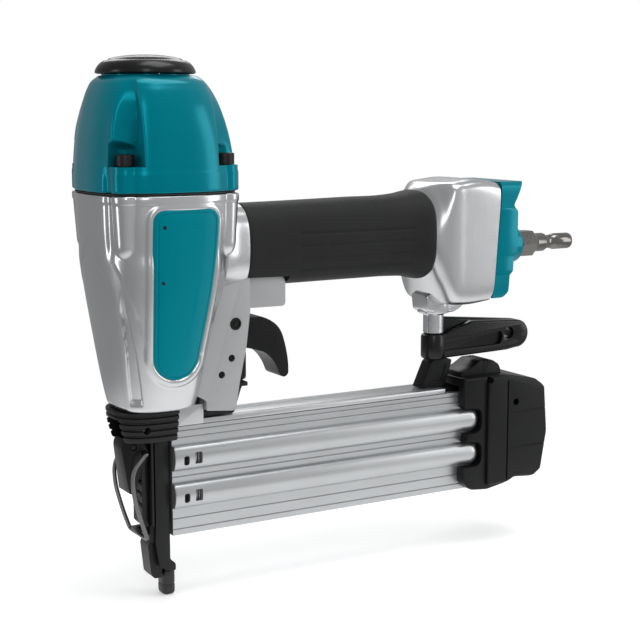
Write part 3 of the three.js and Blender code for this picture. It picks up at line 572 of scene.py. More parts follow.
def barrel():
    heights = np.array([86.8, 87.0, 87.4, 88.0, 88.7, *np.arange(89.4, 178.4, 0.56), 178.6, 179.0, 179.2])
    radius, turns, z = polar_grid(BARREL, heights, 512)
    obj = polar_skin(barrel_relief(radius, turns, z), turns, z)
    bores = [post(0, AIR_BORE, 112, 185), post(0, 17.5, 100, 113), post(0, 5, 80, 101)]
    return cut(obj, *bores, *bolt_holes(166, 181), *both_blocks((-2.8, 26), *ARM_SLOT, (80, 90.4)),
               block((24, 60), WEB_SLOT, (80, 129)))


def bolt_holes(low, high):
    places = [(x, s * BOLT_Y) for x in (FRONT_BOLT, REAR_BOLT) for s in SIDES]
    return [rod("z", at, 2.4, low, high, sides=24) for at in places]


# Where the upright wall of each flute stands in X, and the angle in degrees at which its floor meets the cap.
WALL = {FRONT_BOLT: -13.4, REAR_BOLT: 20.2}
RIDGE = {FRONT_BOLT: 44, REAR_BOLT: 26}
# How deep the flutes over the bolts are cut, by height.
FLUTE_DEPTH = [(191, 12.5), (193.5, 11.2), (197, 8.6), (205, 6.9), (213, 4.8), (220, 2.6), (224, 1.2),
               (226, 0.2)]


def flute_floor(turns, z, bolt_x):
    """How far out the flute over a bolt lies: a slanting floor that meets an upright wall."""
    angle = fold(turns) if bolt_x > 0 else math.pi - fold(turns)
    wall = abs(WALL[bolt_x])
    ridge_turn = math.radians(RIDGE[bolt_x])
    heights, fronts, rears, halves = zip(*CAP)
    half = np.interp(z, heights, halves)
    reach = np.interp(z, heights, rears if bolt_x > 0 else fronts)
    wall_side = half * np.clip(1 - (wall / reach) ** SQUARENESS, 0.02, 1) ** (1 / SQUARENESS)
    foot_y = wall_side - np.interp(z, *zip(*FLUTE_DEPTH))
    at_ridge = polar(reach, reach, half, ridge_turn)
    ridge_x, ridge_y = at_ridge * math.cos(ridge_turn), at_ridge * math.sin(ridge_turn)
    normal_x, normal_y = foot_y - ridge_y, ridge_x - wall
    along_ray = normal_x * np.cos(angle) + normal_y * np.sin(angle)
    offset = normal_x * ridge_x + normal_y * ridge_y
    floor = np.where((offset > 0) & (along_ray > 0), offset / np.maximum(along_ray, 1e-3), CLEAR)
    upright = wall / np.maximum(np.cos(angle), 1e-3)
    cutter = np.where(angle < np.arctan2(foot_y, wall), floor, upright)
    return np.where(z >= FLANGE_TOP, cutter, CLEAR)


def pocket_radius(turns, z, bolt_x, size):
    """How far out the round pocket about a bolt's head lies; it fades out above the head."""
    crossed, middle, half = bolt_ray(turns, bolt_x, size)
    return np.where(crossed & (z >= FLANGE_TOP), middle - half + 9 * step(198, 203, z), CLEAR)


def cylinder_cap():
    ledge = (190.6, 190.85, 190.99, 191.0, 191.15)
    heights = np.array([180.4, 180.6, 181.0, *np.arange(181.5, 190.4, 0.6), *ledge,
                        *np.arange(191.6, 227.6, 0.5), 227.75, 228.0])
    radius, turns, z = polar_grid(CAP, heights, 560)
    from_front = np.degrees(math.pi - fold(turns))
    valley = 0.9 * np.exp(-((from_front - 36.5) / 3.2) ** 2) * (1 - step(184, 190, z) * 0.6)
    skirt = columns(radius, turns, z) + 0.1 - valley
    shoulder = np.exp(-((from_front - 42) / 6) ** 2) * (1 - step(205, 224, z))
    upper = radius - 0.3 * (1 - step(191, 206, z)) + 1.2 * shoulder
    for bolt_x in LOBE:
        upper = soft_min(upper, flute_floor(turns, z, bolt_x), 1.1)
        upper = soft_min(upper, pocket_radius(turns, z, bolt_x, 5.6), 0.4)
    radius = np.where(z < FLANGE_TOP, skirt - 0.3 * step(188.3, 189.1, z), upper)
    radius -= np.interp(z, [180.4, 180.6, 181.0, 181.5], [0.5, 0.2, 0.05, 0])
    obj = polar_skin(radius, turns, z)
    cavity = lathe([(0, 179), (AIR_BORE, 179), (AIR_BORE, 208), (14, 216), (0, 216)])
    join(obj, post(0, 18.6, 224, 228.5, 0.2, 96))
    return cut(obj, cavity, post(0, 6, 215, 230), *bolt_holes(179, 192))


def side_inlay(side):
    """A pillow in the side recess, made of rings that close in on its middle line."""
    outline = np.array(INLAY)
    if side > 0:
        outline = outline[::-1]
    middle_x = np.interp(outline[:, 1], [108, 160], [2.0, 4.2])
    middle_z = np.clip(outline[:, 1], 107, 163)
    inward = np.stack([middle_x, middle_z], axis=1) - outline
    length = np.linalg.norm(inward, axis=1)[:, None]
    depths = [0.05, 0.05, 0.1, 0.3, 0.7, 1.3, 1.7, 1.9, 2.3, 2.5, 2.9, 4.8, 6.6, 8.4]
    heights = [-1.6, 0.1, 0.3, 0.62, 0.85, 0.95, 0.95, 0.72, 0.72, 0.96, 1.0, 1.04, 1.05, 1.05]
    rings = []
    for depth, height in zip(depths, heights):
        flat = outline + inward * np.minimum(depth / length, 0.97)
        y = side * (barrel_side(flat[:, 0], flat[:, 1]) + height - 0.5)
        rings.append(np.stack([flat[:, 0], y, flat[:, 1]], axis=1))
    return skin(rings)


def inlay_pin(side, x, z):
    y = float(barrel_side(x, z))
    return rod("y", (x, z), 0.85, *between(side, y - 0.5, y + 0.62), 0.15, 20)


def cap_bolt(x, y):
    head = lathe([(0, 191.3), (4, 191.3), (4, 195.5), (3.85, 195.9), (3.5, 196), (0, 196)], "z", (x, y), 40)
    thread = rod("z", (x, y), 2.1, 168, 192, 0.3, 24)
    return cut(join(head, thread), hexagon("z", (x, y), 2.3, 193.4, 197))


def exhaust_deflector():
    edge = 228.4
    obj = lathe([(3.9, edge + 4.5), (3.9, 236.7), (6.2, 236.6), (9, 236.3), (12.6, 235.75), (15.2, 235.1),
                 (15.9, 234.5), (16.4, 234.35), (17.4, 234.2), (18.9, 233.3), (20.1, 232.0), (20.8, 230.8),
                 (21.15, 229.9), (21.2, 229.3), (20.9, 228.9), (20.2, 228.75), (15.6, 228.7), (14.6, 229.4),
                 (6.4, edge + 4.5)], sides=120)
    outlet = prism([(14, -9), (26, -9), (26, 9), (14, 9)], "z", 228, 231.4, 0.6)
    outlet.data.transform(Matrix.Rotation(math.radians(62), 4, "Z"))
    return cut(obj, outlet)


def deflector_screw():
    head = lathe([(0, 226), (2.6, 226), (2.6, 227), (5.6, 227), (5.6, 232), (2.6, 232), (2.6, 233.4),
                  (3.5, 233.4), (3.5, 235.9), (3.3, 236.3), (2.9, 236.4), (0, 236.4)], sides=40)
    return cut(head, hexagon("z", (0, 0), 1.7, 234.8, 238))


# ---- Housing behind the barrel ----
def x_loft(rows, stations, count=96):
    """Squared circles along X from rows of (station, centre, below, above, half width, exponent)."""
    rings = []
    for station, values in zip(stations, along(rows, stations)):
        centre, below, above, half = values[:4]
        power = values[4] if len(values) > 4 else SQUARENESS
        section = squircle(centre, below, above, half, power, count)
        rings.append(spread(section[:, ::-1], "x", station))
    return skin(rings)


def handle_tube(reach, half):
    """The oval tube inside the grip, which rises a little towards the rear."""
    front, rear, rise = 30, 140, 0.6
    rows = [(front, HANDLE_Z, reach, reach, half), (rear, HANDLE_Z + rise, reach, reach, half)]
    return x_loft(rows, (front, rear))


def housing_neck():
    rows = [(8, HANDLE_Z, 24, 23, 27.5), (18, HANDLE_Z, 22.4, 22.2, 24), (26, HANDLE_Z, 20.6, 20.6, 19.8),
            (33, HANDLE_Z, 19.2, 19.3, 17.2), (40.7, HANDLE_Z, 18.6, 18.6, 16.1)]
    neck = x_loft(rows, [*np.linspace(8, 39.6, 40), 40.2, 40.5, 40.7])
    join(neck, handle_tube(15, 13))
    return cut(neck, rod("x", (0, HANDLE_Z), AIR_WAY, 6, 150), post(0, AIR_BORE, 112, 185),
               post(VALVE_X, 6, 120, 146), block((24, 42), WEB_SLOT, (126, 129.5)),
               across(TRIGGER_PIN, 2.8, 30))


def trigger_web():
    outline = [(16, 91), (20.8, 88), (20.8, 83.6), (35.2, 82.2), (37.3, 94.8), (40.7, 110), (42.8, 126.8),
               (42.8, 141), (38, 141), (38, 166), (16, 166)]
    plate = slab(rounded(outline, [0, 0.5, 1, 2, 3, 3, 0.5, 0.5, 0, 0, 0]), 12, 0.9)
    pins = [across(TRIGGER_PIN, 2.8, sides=32), *[across(at, 1.6, sides=32) for at in WEB_PINS]]
    slots = [block((24, 60), WEB_SLOT, (80, 127)), block((24, 42), WEB_SLOT, (126, 129)),
             *both_blocks((10, 26), *ARM_SLOT, (80, 90.4))]
    return cut(plate, *slots, *pins, post(0, AIR_BORE, 100, 170), rod("x", (0, HANDLE_Z), AIR_WAY, 10, 60))


def valve_block():
    outline = rounded([(41, 127), (61, 126.8), (62, 128), (62, 141), (41, 141)], [0.5, 1.5, 0.8, 4, 0.5])
    return cut(slab(outline, 9, 1.0), post(VALVE_X, 6, 120, 146))


# Each row is a station, the centre's height, the reach below and above it, the half width and the squareness.
BELL = [
    (136.8, 155, 20.2, 20.6, 18.2, 2.3), (138.6, 154.8, 23.8, 22.6, 19.4, 2.6),
    (141.5, 153.8, 28.2, 25.2, 20.9, 3.3), (144.4, 152.6, 30.2, 27.2, 21.8, 5.2),
    (146.4, 152.2, 30.2, 27.8, 22, 7.5), (152, 151.6, 30.2, 29.0, 22, 8.5), (158, 151.3, 29.9, 29.9, 22, 8.5),
    (166, 151.4, 29.2, 29.4, 22, 8.5), (172.3, 151.4, 28.4, 28.2, 22, 8.5),
]


def slanted(station, z):
    """The seam between the housing and its teal end leans back towards the top."""
    return station - 4.6 * np.clip((179.6 - z) / 56, 0, 1)


def rear_bell():
    stations = [*np.linspace(136.8, 144, 14), *np.linspace(144.4, 147, 8), *np.linspace(148, 172.3, 22)]
    bell = x_loft(BELL, stations, count=160)
    seam = [(slanted(172.3, 120), 118), (slanted(172.3, 183), 183), (182, 183), (182, 118)]
    hollow = [(139.5, 151.4, 20, 20, 16, 3), (150, 151.4, 27, 26.6, 18.9, 8), (180, 151.4, 25, 25, 18.9, 8)]
    cavity = common(x_loft(hollow, np.linspace(139.5, 180, 12)), block((130, 182), 19, (124, 178.4)))
    cutter = slab(seam, 30)
    return cut(bell, cavity, cutter, rod("x", (0, HANDLE_Z), AIR_WAY, 130, 150))


def hook_boss():
    outline = [(139.6, 126), (140.6, 117.4), (156, 116.6), (162, 119.4), (164, 126)]
    slope = slab(rounded(outline, [0, 2, 2, 3, 0]), 7, 1.5, 4)
    profile = [(0, 106.3), (4.5, 106.3), (5, 106.7), (5, 115.4), (5.5, 116.1), (7.2, 116.4), (7.8, 116.7),
               (8, 117.3), (8, 121), (0, 121)]
    boss = lathe(profile, at=(POST_X, 0))
    return cut(join(boss, slope), post(POST_X, 2.5, 100, 122))


# ---- Grip and rear ----
# Each row is a station, the centre's height, the reach below and above it and the half width.
GRIP = [
    (41, 154.6, 18.4, 18.4, 16), (60, 154.6, 18.6, 18.6, 16.2), (100, 155.0, 18.9, 18.9, 16.6),
    (120, 155.1, 19.1, 19.1, 17.0), (128, 155.2, 19.7, 19.8, 18.0), (133, 155.1, 20.7, 20.8, 19.2),
    (137, 155.0, 21.4, 21.4, 19.8),
]


def grip_sleeve():
    stations = [41, 41.2, 41.7, *np.linspace(42.5, 135, 120), 135.8, 136.4, 136.8, 137]
    rows = along(GRIP, stations)
    count = 360
    rings = []
    for station, (centre, below, above, half) in zip(stations, rows):
        section = squircle(centre, below, above, half, 2.5, count)
        end = np.interp(station, [41, 41.2, 41.7, 42.5, 135, 135.8, 136.4, 136.8, 137],
                        [0.9, 0.5, 0.15, 0, 0, 0.08, 0.3, 0.6, 1.1])
        height = section[:, 0]
        groove = np.zeros(count)
        for level in (159.4, 154.0, 148.6, 143.2):
            groove = np.maximum(groove, np.exp(-((height - level) / 0.7) ** 2))
        side = step(0.55, 0.8, np.abs(section[:, 1]) / half)
        span = step(64, 67, station) * (1 - step(124, 127, station))
        inward = end + 0.55 * groove * side * span
        radial = np.stack([section[:, 0] - centre, section[:, 1]], axis=1)
        radial /= np.linalg.norm(radial, axis=1)[:, None]
        section = section - radial * inward[:, None]
        rings.append(spread(section[:, ::-1], "x", station))
    return cut(skin(rings), handle_tube(15.3, 13.3), block((40, 62.4), 12.3, (130, 142.6)))


# The end cap's screws, as (y, z).
END_SCREWS = [(y, z) for y in (-14, 14) for z in (134, 172)]


def screw_seat(z):
    """Where the heads of the lower and upper screws rest."""
    return 175 if z < 150 else 178


def end_cap():
    low, high = 124.2, 179.8
    outline = [(slanted(172.8, low), low), (174.6, low), (177.2, 127), (177.6, 135), (179.6, 137),
               (179.8, 144), (182, 146), (182, 165.6), (179.4, 168.4), (185.6, high),
               (slanted(172.8, high), high)]
    radii = [0, 2, 1, 0.6, 0.6, 0.6, 0.8, 0.8, 1.2, 0.3, 0]
    body = slab(rounded(outline, radii, 5), 22, 0.8)
    section = prism(squircle(151.3, 30.2, 30.1, 22, 8.5, 160)[:, ::-1], "x", 160, 200)
    common(body, section)
    join(body, rod("x", (0, PLUG_Z), 9, 176, 196.6, 1.6))
    screws = [rod("x", (y, z), 2.2, 160, 200, sides=24) for y, z in END_SCREWS]
    heads = [rod("x", (y, z), 3.4, screw_seat(z), 200, sides=32) for y, z in END_SCREWS]
    return cut(body, rod("x", (0, PLUG_Z), 6.2, 160, 200), *screws, *heads)


def end_cap_screw(y, z):
    seat = screw_seat(z)
    head = lathe([(0, seat + 0.3), (3.1, seat + 0.3), (3.1, seat + 2.4), (2.7, seat + 3), (0, seat + 3)],
                 "x", (y, z), 36)
    join(head, rod("x", (y, z), 1.9, 168.6, seat + 1, 0.2, 24))
    return cut(head, hexagon("x", (y, z), 1.5, seat + 1.4, seat + 5))


def air_plug():
    at = (0, PLUG_Z)
    profile = [(2.4, 190), (2.4, 231.6), (3.2, 231.6), (3.7, 231.2), (4, 230.4), (4, 221.0), (3.75, 220.3),
               (3.4, 219.4), (3.3, 217.6), (3.4, 216.4), (4.3, 214.8), (4.6, 214.0), (4.6, 209.2),
               (4.9, 208.3), (5.6, 207.2), (6.0, 206.3), (5.9, 197.3), (5.9, 180), (3, 180)]
    tube = lathe(profile, "x", at, 48)
    nut = hexagon("x", at, 7.1, 197.4, 206.4)
    chamfers = [(0, 197.4), (6.3, 197.4), (7.2, 198.1), (7.2, 205.7), (6.3, 206.4), (0, 206.4)]
    common(nut, lathe(chamfers, "x", at, 48))
    cut(nut, rod("x", at, 4, 190, 210))
    return join(tube, nut)


# ---- Trigger ----
def trigger():
    hook = [(31.5, 119), *arc(*TRIGGER_PIN, 4.6, 207, 63, 12), (44.5, 122.4),
            *bend((51, 122.4), (59.5, 119.5), (61.5, 113), 8),
            *bend((61.5, 113), (64.4, 104), (64.3, 97), 8)[1:], *arc(62, 96.4, 2.3, -10, -160, 8),
            *bend((59.8, 95.7), (57, 103.5), (51.5, 106.5), 8)[1:],
            *bend((51.5, 106.5), (47, 108), (43.3, 108.9), 5)[1:]]
    body = slab(hook, 7.2, 1.3, 4)
    return cut(body, across(TRIGGER_PIN, 2.8), block((30, 46.1), 5.3, (100, 128)))


def ringed_pin(at, radius, half, groove):
    """A pin across the web, with a ring turned into each end."""
    rim = [(0, half), (groove * 0.55, half), (groove * 0.55, half - 0.5), (groove, half - 0.5),
           (groove, half), (radius - 0.2, half), (radius, half - 0.2)]
    profile = [(r, -h) for r, h in rim] + [(r, h) for r, h in reversed(rim)]
    return lathe(profile, "y", at, 40)


# ---- Nose ----
def nose_collar():
    table = [(72.4, 17, 13.4, 13.6), (76, 18, 14.6, 14.6), (80.2, 19, 15.4, 15.4), (86.4, 19.6, 16.6, 16.6)]
    heights = np.array([72.4, 72.55, 72.9, *np.arange(73.3, 86.0, 0.2), 86.2, 86.4])
    radius, turns, z = polar_grid(table, heights, 200)
    for level in (75.6, 78.6, 81.6, 84.4):
        radius -= 0.75 * (1 - step(0.35, 0.6, np.abs(z - level)))
    radius -= np.interp(z, [72.4, 72.55, 72.9, 73.3, 85.9, 86.2, 86.4], [0.8, 0.4, 0.1, 0, 0, 0.1, 0.3])
    collar = common(polar_skin(radius, turns, z), block((-22, 6.2), 20, (70, 90)))
    arms = both_blocks((-2.8, 8), *ARM_SLOT, (70, 90))
    return cut(collar, *arms, across(DOOR_PIN, 1.6), block((-4.2, 8), 5.7, (70, 90)),
               block((-24, -4), 7.1, (70, 82.8)), block((-3, 8), 9.2, (70, 80.2)))


def driver_guide():
    outline = [(-3.9, 85.9), (-3.9, 27), (-4.8, 24), (-3.4, 11), (-1.8, 9), (1.6, 9), (1.7, 31.6),
               (4.6, 31.6), (4.6, 79.2), (0.9, 79.2), (0.9, 85.9)]
    middle = slab(outline, 5.4, 0.4, 2)
    sides = both_blocks((-10, 6), 4.4, 12, (0, 26))
    tongue = [(-9.4, 30.6), (-9.4, 32.4), (-3.8, 32.6), (-3.8, 28.5), (-5.8, 30.6)]
    lug = slab(tongue, 3.5, 0.4, 2)
    body = cut(join(middle, lug), *sides)
    join(body, block((-4, -3), 8, (34, 72)))
    return cut(body, cut(block((-5, 0.95), 1.9, (0, 90)), block((-6, -2), 3, (-1, 32.9))))


def nose_door():
    plate = [(-4.3, 33.3), (-4.3, 76), (-5.6, 78.4), *arc(*DOOR_PIN, 2.7, 0, 180, 12), (-7.4, 74),
             (-7.4, 35), (-6, 33.3)]
    body = slab(plate, 5, 0.5, 2)
    ear = [(-7, 66.5), (-7, 73.2), (-10, 72.9), (-13.6, 70.8), (-13.4, 68.4), (-10, 67)]
    join(body, slab(rounded(ear, 0.6), 4.4))
    for z in (42, 47, 52, 57):
        join(body, block((-7.9, -7.0), 4.4, (z, z + 2), 0.3, 2))
    return cut(body, across(DOOR_PIN, 1.6), across(LEVER_PIN, 1.5), block((-20, -7.4), 2.6, (64, 76)))


def latch_lever():
    outline = [(-13.6, 49.6), (-16.4, 69.5), *arc(*LEVER_PIN, 4.9, 180, 18, 16), (-4.8, 68), (-4.8, 64.6),
               (-9, 58), (-10.6, 48.6)]
    body = slab(outline, 8)
    plan = [(0, -6.7), (-12.6, -6.7), (-17, -4.4), (-17, 4.4), (-12.6, 6.7), (0, 6.7)]
    common(body, prism(rounded(plan, [0, 1.5, 1, 1, 1.5, 0]), "z", 40, 80))
    bevel(body, 0.45, 2, 40)
    inside = slab([(-11.6, 40), (-14.7, 67), (-14.9, 77), (0, 77), (0, 40)], 5.2)
    grooves = [block((-20, -15.5 + 0.14 * (62 - z)), (-3.4, 3.4), (z, z + 0.9)) for z in (62.5, 65, 67.5)]
    return cut(body, inside, across(LEVER_PIN, 1.5), across(BAIL_PIN, 1.3), *grooves)


def latch_bail():
    leg = [(-6.6, 5.4, 67), (-6.6, 9.2, 67), (-8.2, 10.5, 66.6), (-13.2, 10.6, 60), (-13.4, 10.6, 51),
           (-11.2, 10.5, 41.5), (-8.2, 10.2, 32)]
    far = [(x, -y, z) for x, y, z in reversed(leg)]
    return wire([*leg, (-7.2, 8.6, 29.3), (-7.2, 0, 29.3), (-7.2, -8.6, 29.3), *far], 0.95)


def contact_arm():
    plate = [(-2.2, 26), (-0.6, 14.6), (6.9, 12.4), (6.9, 15.6), (4.3, 18), (4.3, 78), (5, 80.2),
             (36.2, 80.2), (39.6, 90.4), (41, 93.6), (36, 93.6), (33.6, 82.8), (-2.2, 82.8)]
    rounding = [0.8, 1, 0.8, 0.8, 0.8, 0.8, 0, 1.5, 1, 0.2, 0.2, 1, 0.5]
    sides = both_plates(rounded(plate, rounding), 5.8, 7.8, 0.35)
    bridges = [((2.1, 4.3), 6.5, (15.4, 23.5), 0.3), ((2.4, 6.9), 6.5, (12.4, 15.6), 0.4),
               ((4, 7.2), 1.6, (3.6, 13.5), 0.3), ((25.6, 33), 6.5, (80.2, 81.6), 0.2),
               ((36.2, 44), 6.5, (91.6, 93.6), 0.4)]
    blocks = [block(*bridge, segments=2) for bridge in bridges]
    return join(*sides, *blocks, post(WHEEL_X, 1.8, 92, 104, 0.3, 24))


def contact_foot():
    rings = []
    for z, shrink in ((0, 1.3), (0.25, 0.7), (0.7, 0.3), (1.5, 0), (4.5, 0), (5.0, 0.25), (5.5, 0),
                      (10.6, 0), (11.3, 0.3), (11.65, 0.7), (11.8, 1.2)):
        ring = squircle(5.6, 3.1 - shrink, 3.1 - shrink, 4 - shrink, 3.4, 48)
        rings.append(spread(ring, "z", z))
    return cut(skin(rings), block((3.7, 7.5), 1.9, (3.3, 20)))


def arm_guide():
    outline = [(24.6, 89.2), (34.8, 89.2), (36, 94), (36, 111), (24.6, 111)]
    body = slab(rounded(outline, 0.8), 5.4, 0.5)
    return cut(body, *[across(at, 1.6, sides=24) for at in WEB_PINS], post(29.6, 3.4, 80, 94.4))


def depth_wheel():
    turns = full_turn(144)
    rings = []
    for z, shrink in ((94, 0.9), (94.3, 0.4), (94.8, 0.1), (95.2, 0), (105.8, 0), (106.2, 0.1),
                      (106.7, 0.4), (107, 0.9)):
        radius = 4.8 - shrink - 0.28 * (1 - np.cos(18 * turns)) / 2
        rings.append(spread(circle(radius, turns) + np.array((WHEEL_X, 0)), "z", z))
    return cut(skin(rings), post(WHEEL_X, 2.1, 90, 104.4, sides=32))


# ---- Magazine ----
# The heights of the two round ridges along each side.
RIDGES = (63.4, 46.6)


def ridge(side, height):
    """A half-round ridge along the magazine's side, with a rounded rear end."""
    half, proud, low = 5.8, 4.0, 8.7
    rings = []
    for x, scale in ((5.3, 0.94), (5.6, 1.0), (163.0, 1.0), (165.2, 0.97), (166.6, 0.86), (167.5, 0.66),
                     (168.0, 0.3)):
        turns = np.linspace(0, math.pi, 22)
        z = height + half * scale * np.cos(turns)
        y = low + (proud + 9 - low) * scale * np.sin(turns) ** 0.85
        y[0] = y[-1] = low
        rings.append(spread(np.stack([side * y, z], axis=1), "x", x))
    return skin(rings)


def sliding_magazine():
    half, inner, bottom, top = 9.0, 5.6, 28.7, 77.3

    def lines(side):
        edge = [(half, bottom)]
        for z in (31.4, 36.2, 55.0, 72.4, 75.4):
            edge += [(half, z - 0.3), (half - 0.45, z), (half, z + 0.3)]
        edge.append((half, top))
        return [(side * y, z) for y, z in edge]

    right = lines(1)
    left = lines(-1)[::-1]
    outline = [*right, (inner, top), (inner, 40), (2.5, 40), (2.5, 37.4), (inner, 37.4), (inner, 31.6),
               (-inner, 31.6), (-inner, 37.4), (-2.5, 37.4), (-2.5, 40), (-inner, 40), (-inner, top), *left]
    body = prism(outline, "x", 5.3, 168)
    join(body, *[ridge(s, z) for s in SIDES for z in RIDGES])
    windows = []
    for s in SIDES:
        for z in RIDGES:
            front = rectangle((9.4, 12.0), (z - 2.8, z + 1.4), 1.1)
            rear = rectangle((14.8, 18.2), (z - 2.6, z + 2.6), 0.5)
            windows += [prism(outline, "y", *between(s, 4, 16)) for outline in (front, rear)]
    return cut(body, *windows)


def window_bars(side):
    """The bars that show through the rear windows."""
    places = [(z, 14.9 + 1.2 * i) for z in RIDGES for i in range(3)]
    bars = [block((x, x + 0.7), between(side, 6.2, 10.4), (z - 2.5, z + 2.5), 0.15, 2) for z, x in places]
    return join(bars[0], *bars[1:])


def magazine_end_cap():
    outline = [(157.5, 84.6), (157.5, 74), (160.5, 58), (157.5, 50), (157.5, 33), (162, 28.7), (172, 27.8),
               (183, 29.7), (188, 32), (200, 31), (204.6, 34), (208, 54), (206, 77.5), (201, 81), (183, 84.6)]
    radii = [1.0, 2, 4, 3, 2, 2, 1, 1, 2, 2, 1, 4, 1.5, 1.5, 2]
    body = slab(rounded(outline, radii), 14.6, 1.2)
    rear = [(171, 84.2), (171, 30.2), (183, 30.6), (188, 32.8), (199.6, 31.8), (204, 34.8), (207.3, 54),
            (205.4, 77), (200.6, 80.5), (183, 84.2)]
    join(body, slab(rounded(rear, 1.2), 16.5, 1.6, 3))
    hollow = [(156, 26.7), (172, 26.7), (172, 31.5), (196, 35), (205, 38), (205, 80.2), (156, 80.2)]
    grooves = [block((183, 210), between(s, 15.8, 20), (z - 0.5, z + 0.5), 0.2, 2)
               for s in SIDES for z in (66, 48)]
    seams = both_blocks((182, 182.9), 15.7, 20, (32, 82), 0.2)
    notches = []
    for z in RIDGES:
        notch = [(150, z - 6.3), (168.4, z - 6.3), (168.4, z + 6.3), (150, z + 6.3)]
        notches.append(slab(rounded(notch, [0, 5, 5, 0], 8), 20))
    return cut(body, slab(hollow, 9.3), *notches, *grooves, *seams, block((158.2, 185.4), 8.4, (79, 86)),
               across(LATCH_PIN, 1.5), across((187.5, 70.8), 1.7))


def magazine_latch():
    outline = [(159, 83), (160.6, 86.6), (166, 88.2), (171.4, 91.4), (178.6, 91.5), (182.6, 89),
               (184.2, 85.6), (182.4, 80.8), (170, 81.2), (161, 82.4), (160.4, 80.2), (159, 80.2)]
    body = slab(rounded(outline, [0.8, 1, 1, 1, 1.2, 1, 1.2, 0.8, 0.3, 0.3, 0.3, 0.3]), 8, 0.8)
    grooves = [block((x, x + 0.8), 9, (90.9, 94)) for x in (173.5, 175.3, 177.1)]
    return cut(body, across(LATCH_PIN, 1.5), *grooves)


def fixed_rail():
    strip, top, foot = 77.6, 79.8, 33
    section = [(-9, strip), (-2, strip), (-2, foot + 3), (-4.8, foot + 3), (-4.8, foot), (4.8, foot),
               (4.8, foot + 3), (2, foot + 3), (2, strip), (9, strip), (9, top), (6.4, top), (6.2, top - 0.3),
               (6, top), (-6, top), (-6.2, top - 0.3), (-6.4, top), (-9, top)]
    body = prism(section, "x", 5, 150, 0.2, 2)
    return join(body, *both_plates(rectangle((7.3, 20.4), (77.7, 86.5), 0.4), 8.4, 9.8, 0.25))


# ---- Strut and belt hook ----
def strut():
    outline = rounded([(139.3, 80.1), (153, 80.1), (157.4, 93.4), (145.4, 93.4)], [0.6, 0.6, 2, 2])
    foot = slab(outline, 4, 0.9)
    join(foot, post(POST_X, 3.8, 92, 106, 0.4))
    panel = rounded([(144.2, 83), (151, 83), (154, 91), (147, 91)], 1.2)
    grooves = both_plates(panel, 3.6, 8)
    return cut(foot, post(POST_X, 2.5, 87, 118), *grooves)


def belt_hook():
    """A rising arm with a hollow along each face, a higher far half and a hole near its rounded end."""
    end = arc(197, 102.5, 7, -94, 86, 14)
    start = (POST_X, 106), (POST_X, 93.7)
    near_half = [start[1], (191, 94.7), *end, (169, 111), (158, 107.9), (POST_X + 5.4, 106), start[0]]
    far_half = [start[1], (191, 94.7), *end, (POST_X + 5.8, 113.6), (POST_X + 5.4, 106), start[0]]
    arm = prism(near_half, "y", -4.4, 1, 1.3, 4)
    join(arm, prism(far_half, "y", -0.4, 4.4, 1.3, 4))
    hollow = rounded([(151.5, 97.4), (186.4, 98.2), (187.8, 102.4), (186.4, 104.8), (151.5, 101.6)], 1.6)
    cut(arm, *both_plates(hollow, 1.6, 8), rod("y", (191.4, 103.4), 3, -10, 10))
    bevel(arm, 0.35, 2, 50)
    profile = [(0, 93.7), (4.6, 93.7), (5.6, 94.2), (6, 95.2), (6, 104.5), (5.6, 105.5), (4.6, 106), (0, 106)]
    hub = lathe(profile, at=(POST_X, 0))
    return cut(join(hub, arm), post(POST_X, 4.1, 90, 120))


# ---- Putting the pieces together ----
def stand_in(obj, node, slot, body=ROOT, sharp=32):
    """A piece that takes the place of one CAD node and carries its name."""
    return piece(obj, f"{node}_detail", slot, body, node, sharp)


def add_head():
    piece(barrel(), "barrel_casting", "silver_casting", stands_for="housing", sharp=50)
    piece(cylinder_cap(), "cap_casting", "teal_casting", stands_for="cylinder_cap", sharp=50)
    for end, x in (("front", FRONT_BOLT), ("rear", REAR_BOLT)):
        for side, y in (("left", -BOLT_Y), ("right", BOLT_Y)):
            stand_in(cap_bolt(x, y), f"cap_bolt_{end}_{side}", "black_steel")
    piece(exhaust_deflector(), "deflector_dome", "gloss_black_plastic", "deflector", "exhaust_deflector")
    stand_in(deflector_screw(), "deflector_screw", "black_steel")
    for name, s in (("left", -1), ("right", 1)):
        piece(side_inlay(s), f"inlay_pillow_{name}", "teal_plastic", stands_for=f"side_inlay_{name}",
              sharp=60)
        for level, z in (("upper", 166.5), ("lower", 143.5)):
            piece(inlay_pin(s, -6.4, z), f"inlay_pin_{name}_{level}", "black_steel")


def add_housing():
    for make, name in ((housing_neck, "neck"), (rear_bell, "rear_bell"), (hook_boss, "hook_boss")):
        piece(make(), f"{name}_casting", "silver_casting", stands_for="housing")
    matte = surface("bare_casting", (0.42, 0.425, 0.43), 0.5, 0.5, shade=0.95, grain=1300, bump=0.08,
                    spread_by=0.06)
    piece(trigger_web(), "web_casting", "silver_casting", stands_for="housing", material=matte)
    piece(valve_block(), "valve_block_casting", "silver_casting", stands_for="housing", material=matte)


def add_trigger():
    piece(trigger(), "trigger_lever", "black_plastic", "trigger", "trigger")
    stand_in(ringed_pin(TRIGGER_PIN, 2.5, 12.4, 1.9), "trigger_pin", "black_steel")
    for node, at in (("web_pin_upper", WEB_PINS[0]), ("web_pin_lower", WEB_PINS[1])):
        stand_in(ringed_pin(at, 1.3, 11.6, 0.8), node, "black_steel")


